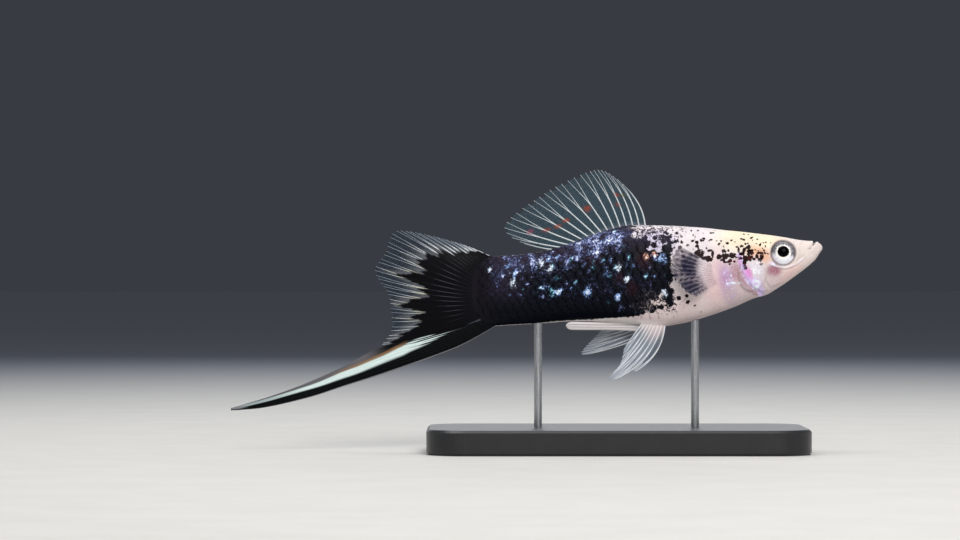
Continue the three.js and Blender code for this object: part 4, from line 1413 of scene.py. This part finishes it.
# Streaks thin the tissue by up to a fifth, so a veil this strong stays solid everywhere.
SOLID_VEIL = 1.3
INK = tone(7, 7, 11)
INK_GREY = tone(84, 82, 92)
FAN_WHITE = tone(240, 244, 248)
FAN_GREY = tone(156, 166, 178)
FAN_CREAM = tone(232, 226, 190)
FAN_FILM = tone(44, 54, 66)
UNEVEN_STEPS = 121
uneven = np.random.default_rng(11).uniform(-0.06, 0.06, UNEVEN_STEPS)


def uneven_along(across, steps, first=0):
    """A jagged line across a fin, in so many steps of the uneven numbers."""
    return np.interp(across, np.linspace(0, 1, steps), uneven[first:first + steps])


def past_ink(across, out):
    """How far out a place is from the edge of the ink. It is negative in the ink."""
    edge = ink_edge(across) + uneven_along(across, UNEVEN_STEPS)
    edge = edge + 0.4 * uneven_along(across, 61, first=40)
    return out - edge


print("half way across, the ink reaches out to", ink_edge(0.5).round(2))


# %% Paint the fan
def fan_web_paint(across, out):
    past = past_ink(across, out)
    tint = np.tile(FAN_FILM, (len(out), 1))
    lay(tint, 0.16 * (1 - smooth(past, 0.0, 0.22)), FAN_WHITE)
    lay(tint, 0.4 * (1 - smooth(across, 0.1, 0.22)), FAN_WHITE)
    inked = 1 - smooth(past, -0.015, 0.015)
    lay(tint, inked, INK)
    lay(tint, 0.9 * (1 - smooth(out, 0.0, 0.3)), STALK_BLACK)
    veil = 0.42 + 0.25 * (1 - smooth(past, 0, 0.2))
    return tint, np.maximum(veil, SOLID_VEIL * inked)


def fan_ray_paint(across, out):
    past = past_ink(across, out)
    tint = np.tile(FAN_GREY, (len(out), 1))
    lay(tint, 1 - smooth(past, 0.06, 0.26), FAN_WHITE)
    creamy = smooth(across, 0.5, 0.58) * (1 - smooth(across, 0.86, 0.92))
    lay(tint, 0.8 * (1 - smooth(past, 0.02, 0.16)) * creamy, FAN_CREAM)
    lay(tint, 0.7 * (1 - smooth(across, 0.08, 0.2)), FAN_WHITE)
    inked = 1 - smooth(past, -0.02, 0.02)
    lay(tint, inked, INK)
    glow = patch(across, out, (0.68, 0.3), (0.2, 0.13), 0.6)
    glow += 0.5 * patch(across, out, (0.35, 0.3), (0.2, 0.1), 0.6)
    lay(tint, 0.6 * glow * inked, INK_GREY)
    lay(tint, 0.9 * (1 - smooth(out, 0.0, 0.3)), STALK_BLACK)
    return tint, np.full(len(out), 1.1)


tail_rods = branching(TAIL_SPACES, 0.11, 1, 0.42, 0.42, seed=5)
fin_pieces("tail", "", web_mesh("tail_web", tail_fan, 0.08, rows=70),
           rods_mesh("tail_rays", tail_fan, tail_rods), fan_web_paint, fan_ray_paint, "tail_fin")

# %% [markdown]
# ## The sword
# Below the fan the lowest rays run on into the sword: rays lying side by side, fused into a
# blade. A broad mint white stripe starts in ragged streaks near the body and ends at the point.
# A thin tan line and a grey fringe lie above it, black tissue below, and a hair-fine pale ray
# draws the lower edge. A web makes it, laid lengthwise between an upper and a lower line, with
# ridges in place of rods.

# %% The plan of the blade
sword = fin(
    root=[(-25.2, 1.9), (-24.9, 1.4), (-24.2, 1.0), (-23.6, 0.6)],
    margin=[(-77.2, -16.2), (-77.2, -16.3), (-77.2, -16.6), (-77.2, -16.7)],
    rays=8, bow=lambda across: 0 * across, sway=lambda across, out, away: 0 * out)
sword_upper = bent([
    (-25.2, 1.9), (-31.4, 0.1), (-40.0, -2.2), (-47.4, -4.1), (-55.4, -8.2), (-62.6, -11.4),
    (-69.8, -14), (-77.2, -16.2)])
sword_lower = bent([
    (-23.6, 0.6), (-29.8, -3.0), (-34.8, -5.2), (-45.8, -9.1), (-54.4, -11.8), (-61.6, -14.1),
    (-70.4, -16.1), (-77.2, -16.7)])
stripe_top = through([
    (0, 0.0), (0.16, 0.0), (0.2, 0.07), (0.24, 0.02), (0.28, 0.04), (0.31, 0.1), (0.35, 0.22),
    (0.43, 0.34), (0.51, 0.32), (0.59, 0.24), (0.66, 0.25), (0.74, 0.2), (0.82, 0.16), (1, 0.1)])
stripe_foot = through([
    (0, 0.06), (0.14, 0.1), (0.2, 0.24), (0.25, 0.37), (0.28, 0.42), (0.32, 0.48), (0.36, 0.56),
    (0.44, 0.6), (0.52, 0.61), (0.59, 0.57), (0.67, 0.52), (0.74, 0.44), (0.82, 0.4), (0.9, 0.4),
    (1, 0.6)])
print("sword:", round(float(np.linalg.norm(sword_upper(1.0) - sword_upper(0.0)))), "mm long")

# %% Paint the blade
MINT = tone(226, 244, 240)
TAN = tone(150, 116, 84)
SWORD_BLACK = tone(3, 5, 9)
EDGE_GREY = tone(150, 150, 154)
FRINGE_GREY = tone(120, 118, 122)
POINT_GREY = tone(130, 142, 146)


def sword_spot(across, out):
    """x, y and height between the upper line, at across 0, and the lower line."""
    place = sword_upper(out) * (1 - across)[:, None] + sword_lower(out) * across[:, None]
    return place[:, 0], 0 * out, place[:, 1]


def sword_paint(across, out):
    tint = np.tile(SWORD_BLACK, (len(out), 1))
    top, foot = stripe_top(out), stripe_foot(out)
    streaky = uneven_along(across, 41)
    inside = smooth(across, top - 0.04, top + 0.04)
    inside *= 1 - smooth(across, foot - 0.07, foot + 0.05)
    white = inside * smooth(out + 2.6 * streaky, 0.21, 0.24)
    fringe = 1 - smooth(across, top, top + 0.03)
    lay(tint, 0.75 * smooth(out, 0.38, 0.5) * fringe, FRINGE_GREY)
    tan_part = smooth(out, 0.3, 0.36) * (1 - smooth(out, 0.52, 0.66))
    lay(tint, 0.9 * smooth(across, top - 0.16, top - 0.05) * fringe * tan_part, TAN)
    lay(tint, white, MINT)
    lay(tint, 0.7 * white * smooth(out, 0.7, 0.9), POINT_GREY)
    lay(tint, smooth(out, 0.93, 0.98) * (1 - smooth(across, 0.6, 0.8)), EDGE_GREY)
    lay(tint, 0.9 * smooth(across, 0.945, 0.975), EDGE_GREY)
    return tint, np.full(len(out), SOLID_VEIL)


stripe_share = stripe_foot(0.5) - stripe_top(0.5)
print("the stripe half way out covers", stripe_share.round(2), "of the blade")

# %% Shape the blade
BLADE_RIDGES, RIDGE_HIGH = 9, 0.12
blade, blade_across, blade_out = web_mesh("sword_blade", sword, 0.3, rows=150, columns_each=7)
half = np.sign(spots_of(blade)[:, 1]) * 0.5
ridges = RIDGE_HIGH * np.abs(np.sin(blade_across * BLADE_RIDGES * np.pi))
rounded = np.sqrt(np.clip(1 - (2 * blade_across - 1) ** 4, 0.08, 1))
thick = (0.42 - 0.26 * blade_out) * rounded + ridges
x, y, h = sword_spot(blade_across, blade_out)
set_spots(blade, x, half * thick, h)
hang_fin(blade, blade_across, blade_out, sword_paint)
piece("sword_blade", blade, fin_material("sword_tissue"), "sword", "tail_sword")

# %% [markdown]
# ## The paired fins and the gonopodium
# The pectoral fins fan out behind the gill covers, navy between pale rays. The pelvic fins hang
# below the belly, milky and ribbed; the far one is half folded. Between them and the tail, the
# male's anal fin has become a slim cream rod that lies back along the belly.

# %% The plans of the pelvic fins
PELVIC_ROOT = [(2.3, 0.3), (0.8, 0.7), (-0.8, 0.8), (-2.2, 0.7)]
PELVIC_AT = (7.2, 0)
pelvic_right = fin(
    root=PELVIC_ROOT, at=PELVIC_AT, rays=7, notch=0.02,
    margin=[(-3.4, -9.0), (-4.6, -8.6), (-7.6, -10.2), (-9.0, -9.9), (-7.0, -7.6), (-6.2, -5.4),
            (-5.9, -4.1), (-4.8, -2.6)],
    bow=lambda across: -0.13 * (1 - across),
    sway=lambda across, out, away: -(1.2 + 0.5 * away),
    tips=[(0, 0.03), (0.1, 0.09), (0.143, 0.27), (0.286, 0.35), (0.43, 0.415), (0.57, 0.52),
          (0.71, 0.66), (0.86, 0.83), (1, 1)])
pelvic_left = fin(
    root=PELVIC_ROOT, at=PELVIC_AT, rays=6, notch=0.03,
    margin=[(-12.6, -5.5), (-14.3, -5.5), (-13.2, -3.8), (-11.6, -2.2), (-10.6, -1.0),
            (-9.6, -0.4)],
    bow=lambda across: -0.04 * (1 - across),
    sway=lambda across, out, away: 1.2 + 0.22 * away)
print("rays of the pelvic fins:", pelvic_right["rays"] + 1, "and", pelvic_left["rays"] + 1)

# %% Paint and add the pelvic fins
PELVIC_MILK = tone(184, 192, 202)
PELVIC_FILM = tone(146, 155, 168)
PELVIC_GAP = tone(90, 100, 114)
PELVIC_WHITE = tone(236, 238, 242)


def pelvic_web_paint(across, out):
    tint = np.tile(PELVIC_FILM, (len(out), 1))
    lay(tint, 1 - smooth(out, 0.0, 0.35), BELLY_PINK)
    front_gap = patch(across, out, (0.08, 0.7), (0.05, 0.6), 0.5)
    lay(tint, 0.6 * front_gap, PELVIC_GAP)
    return tint, 0.72 - 0.3 * front_gap + 0.25 * (1 - smooth(out, 0, 0.3))


def pelvic_ray_paint(across, out):
    tint = np.tile(PELVIC_WHITE, (len(out), 1))
    lay(tint, 0.5 * smooth(out, 0.4, 1), PELVIC_MILK)
    return tint, np.full(len(out), 0.95)


for side_name, fan in (("right", pelvic_right), ("left", pelvic_left)):
    rods = branching(fan["rays"], 0.15, 2, 0.3, 0.6, seed=9)
    web = web_mesh("pelvic_web_" + side_name, fan, 0.1, rows=30)
    fin_pieces("pelvic", "_" + side_name, web, rods_mesh("pelvic_rays_" + side_name, fan, rods),
               pelvic_web_paint, pelvic_ray_paint)

# %% Paint the pectoral fins
NAVY = tone(30, 32, 62)
PECTORAL_PALE = tone(206, 192, 206)
PECTORAL_FILM = tone(208, 190, 198)
PECTORAL_SPACES = 11


def navy_share(across, out):
    """The navy lies in broken dashes past the root, thickest at two places."""
    dashes = 0.5 + 0.5 * np.sin(out * 40 + 5 * np.sin(across * 17)) * np.sin(across * 31 + 2)
    band = smooth(out, 0.26, 0.5)
    thickest = patch(across, out, (0.78, 0.82), (0.14, 0.24), 0.6)
    thickest += patch(across, out, (0.3, 0.6), (0.26, 0.16), 0.6)
    return band * np.clip(0.42 + 0.4 * dashes + 0.5 * thickest, 0, 1)


def pectoral_web_paint(across, out):
    tint = np.tile(PECTORAL_FILM, (len(out), 1))
    between = np.sin(across * PECTORAL_SPACES * np.pi) ** 2
    band = navy_share(across, out) * (0.7 + 0.3 * smooth(between, 0.1, 0.7))
    lay(tint, band * 1.3, NAVY)
    return tint, 0.05 + 0.7 * band


def pectoral_ray_paint(across, out):
    tint = np.tile(PECTORAL_PALE, (len(out), 1))
    lay(tint, 0.3 * navy_share(across, out), NAVY)
    return tint, 0.3 + 0.35 * smooth(out, 0.3, 0.6)


print("navy at the thickest:", navy_share(np.array([0.78]), np.array([0.82])).round(2))

# %% Add the pectoral fins
for side_name, side in SIDES:
    pectoral = fin(
        root=[(-0.1, 1.6), (0.2, 0.5), (0.3, -0.5), (0.5, -1.7)], at=(19.2, 10.5),
        rays=PECTORAL_SPACES, notch=0.04,
        margin=[(-7.4, 5.7), (-8.4, 4.0), (-9.0, 2.4), (-9.0, 0.8), (-8.0, -0.8), (-6.8, -2.4),
                (-5.8, -3.5), (-4.6, -4.1), (-3.8, -4.5)],
        bow=lambda across: 0.02 + 0 * across,
        sway=lambda across, out, away, side=side: side * (4.9 + 0.42 * away))
    rods = branching(PECTORAL_SPACES, 0.055, 1, 0.55, 0.35, seed=13)
    web = web_mesh("pectoral_web_" + side_name, pectoral, 0.08, rows=36)
    fin_pieces("pectoral", "_" + side_name, web,
               rods_mesh("pectoral_rays_" + side_name, pectoral, rods),
               pectoral_web_paint, pectoral_ray_paint)

# %% The gonopodium
ROD_BACK, ROD_FRONT = -10.3, 5.2
ROD_HALF_WIDE = 0.45
ROD_CREAM = tone(238, 232, 230)
GROOVE_PAINTED_SHADE, GROOVE_PALE_PAINTED_SHADE = tone(150, 144, 150), tone(160, 154, 158)
# Two grooves run along each side: the sine of their angle, how wide and how deep they are, how
# wide and how strong the shade painted along them is, and its tone.
ROD_GROOVES = [(0.3, 0.16, 0.26, 0.2, 0.7, GROOVE_PAINTED_SHADE),
               (-0.35, 0.14, 0.22, 0.2, 0.5, GROOVE_PALE_PAINTED_SHADE)]
rod_depth = through([(-10.3, 0.5), (-9.4, 0.85), (-2, 0.8), (2, 0.9), (5.2, 1.1)])

bm = bmesh.new()
bmesh.ops.create_uvsphere(bm, u_segments=48, v_segments=90, radius=1,
                          matrix=Matrix.Rotation(math.pi / 2, 4, "Y"))
anal_rod = mesh_from(bm, "gonopodium_rod")
ball = spots_of(anal_rod)
share = 1 - np.arccos(np.clip(ball[:, 0], -1, 1)) / np.pi
angle = np.arctan2(ball[:, 2], ball[:, 1])
opened = np.sqrt(np.clip(1 - (2 * share - 1) ** 16, 0, 1))
tint = np.tile(ROD_CREAM, (len(share), 1))
narrowed = np.ones(len(share))
for groove, wide, deep, shade_wide, strong, shade in ROD_GROOVES:
    narrowed -= ridge(np.sin(angle) - groove, wide, deep)
    # Painted shade darkens each groove.
    lay(tint, ridge(np.sin(angle) - groove, shade_wide, strong), shade)
rod_x = ROD_BACK + (ROD_FRONT - ROD_BACK) * share
rod_y = ROD_HALF_WIDE * opened * np.cos(angle) * narrowed
rod_h = 0.25 - 0.2 * share + rod_depth(rod_x) * opened * np.sin(angle)
set_spots(anal_rod, rod_x, rod_y, rod_h)
hang_fin(anal_rod, angle / 6.3, share, lambda across, out: (tint, np.ones(len(out))))
piece("gonopodium_rod", anal_rod, ray_finish, "pale_fin", "gonopodium")

# %% [markdown]
# ## The stand
# The stand is not part of the fish. It is a slab of black acrylic and two polished steel rods,
# and it keeps the shapes of the frame. Acrylic is smooth with a soft shine and the finest
# scratches; drawn steel rod is streaked along its length.

# %% Acrylic
SCRATCHES, DRAWN_STREAKS = 260, 6000
ACRYLIC_DARK, ACRYLIC_LIGHT = tone(25, 26, 29), tone(29, 30, 33)
acrylic, tree, shader = new_material("black_acrylic", 0.3)
scratch = noise_node(tree, object_place(tree), SCRATCHES, 4, 0.7)
varied = spread(tree, scratch, 0.35, 0.7)
coloured = blend_colour(tree, varied, rgba(ACRYLIC_DARK), rgba(ACRYLIC_LIGHT))
join(tree, coloured, shader.inputs["Base Color"])
join(tree, spread(tree, scratch, 0.3, 0.7, 0.3, 0.34), shader.inputs["Roughness"])
print("finish of the base:", acrylic.name)

# %% Drawn steel
STEEL_DARK, STEEL_LIGHT = tone(176, 178, 182), tone(196, 198, 202)
steel, tree, shader = new_material("drawn_steel", 0.25)
stretch = add_node(tree, "ShaderNodeMapping")
stretch.inputs["Scale"].default_value = (1, 1, 0.04)
join(tree, object_place(tree), stretch.inputs["Vector"])
drawn = noise_node(tree, stretch.outputs["Vector"], DRAWN_STREAKS, 3)
varied = spread(tree, drawn, 0.3, 0.7)
coloured = blend_colour(tree, varied, rgba(STEEL_DARK), rgba(STEEL_LIGHT))
join(tree, coloured, shader.inputs["Base Color"])
join(tree, spread(tree, drawn, 0.3, 0.7, 0.24, 0.32), shader.inputs["Roughness"])
shader.inputs["Metallic"].default_value = 1.0
bump(tree, shader, drawn, 0.3, 0.00001)

STAND_FINISHES = {"stand_base": acrylic, "stand_rod_front": steel, "stand_rod_rear": steel}
for node, finish in STAND_FINISHES.items():
    frame["nodes"][node].material_slots[0].material = finish
    print(node, "is", finish.name)

# %% [markdown]
# ## The floor and the light
# A pale floor lies under the stand. Its paint darkens with distance into a slate grey room,
# painted shade, so that white rays, clear web and the black flank all stand out against one
# quiet background. The lights are large and soft: one high in front for the modelling, one
# along the top for the back, and a weak one from the other side.

# %% The floor
ROOM = tone(56, 59, 65)
PALE_FLOOR = tone(214, 212, 208)
# The far floor gets about this share of full light, so its paint is lighter than the room.
FAR_LIGHT = 0.3
# In metres, unlike the fish: the floor's size, where it starts to darken and where it ends.
FLOOR_RADIUS = 6.0
PALE_TO, ROOM_FROM = 0.10, 0.85
FLOOR_MOTTLES = 60

bm = bmesh.new()
bmesh.ops.create_circle(bm, cap_ends=True, segments=128, radius=FLOOR_RADIUS)
floor_mesh = mesh_from(bm, "floor", outward=False)
floor = bpy.data.objects.new("floor", floor_mesh)
bpy.context.collection.objects.link(floor)
floor_finish, tree, shader = new_material("studio_floor", 0.75)
away = add_node(tree, "ShaderNodeVectorMath", operation="LENGTH")
join(tree, object_place(tree), away.inputs[0])
# Painted shade: the floor's paint darkens with distance towards the room's slate.
fade = spread(tree, away.outputs["Value"], PALE_TO, ROOM_FROM)
mottle = noise_node(tree, object_place(tree), FLOOR_MOTTLES, 3)
mottled = spread(tree, mottle, 0.3, 0.7)
near = blend_colour(tree, mottled, rgba(PALE_FLOOR * 0.96), rgba(PALE_FLOOR))
join(tree, blend_colour(tree, fade, near, rgba(ROOM / FAR_LIGHT)), shader.inputs["Base Color"])
shader.inputs["Specular IOR Level"].default_value = 0.1
floor_mesh.materials.append(floor_finish)
print("floor:", 2 * FLOOR_RADIUS, "m across")

# %% The room
# The camera sees the plain slate of the room, while the fish is lit by a pale sky.
world = bpy.data.worlds.new("studio")
bpy.context.scene.world = world
world.use_nodes = True
tree = world.node_tree
lit = tree.nodes["Background"]
lit.inputs["Color"].default_value = (0.92, 0.96, 1.0, 1.0)
lit.inputs["Strength"].default_value = 0.25
seen = add_node(tree, "ShaderNodeBackground")
seen.inputs["Color"].default_value = rgba(ROOM)
seen.inputs["Strength"].default_value = 1.0
choose = add_node(tree, "ShaderNodeMixShader")
join(tree, add_node(tree, "ShaderNodeLightPath").outputs["Is Camera Ray"], choose.inputs[0])
join(tree, lit.outputs[0], choose.inputs[1])
join(tree, seen.outputs[0], choose.inputs[2])
join(tree, choose.outputs[0], tree.nodes["World Output"].inputs["Surface"])
print("light of the room:", round(lit.inputs["Strength"].default_value, 2))


# %% Lights
FISH_MIDDLE = (0, 0, 0.035)


def soft_light(name, place, size, power, colour=(1, 1, 1)):
    """A rectangular light that faces the middle of the fish. Its place and size are in metres."""
    light = bpy.data.lights.new(name, "AREA")
    light.shape = "RECTANGLE"
    light.size, light.size_y = size
    light.energy = power
    light.color = colour
    lamp = bpy.data.objects.new(name, light)
    bpy.context.collection.objects.link(lamp)
    lamp.location = place
    aim = Vector(FISH_MIDDLE) - lamp.location
    lamp.rotation_euler = aim.to_track_quat("-Z", "Y").to_euler()
    print(name, "of", power, "W")


soft_light("key_light", (0.14, -0.66, 0.44), (0.45, 0.35), 5.0, (1, 0.98, 0.96))
soft_light("top_light", (-0.05, 0.12, 0.75), (0.7, 0.3), 3.0)
soft_light("fill_light", (0.0, 0.75, 0.35), (0.6, 0.4), 1.2, (0.94, 0.97, 1))
bpy.context.scene.view_settings.view_transform = "Standard"
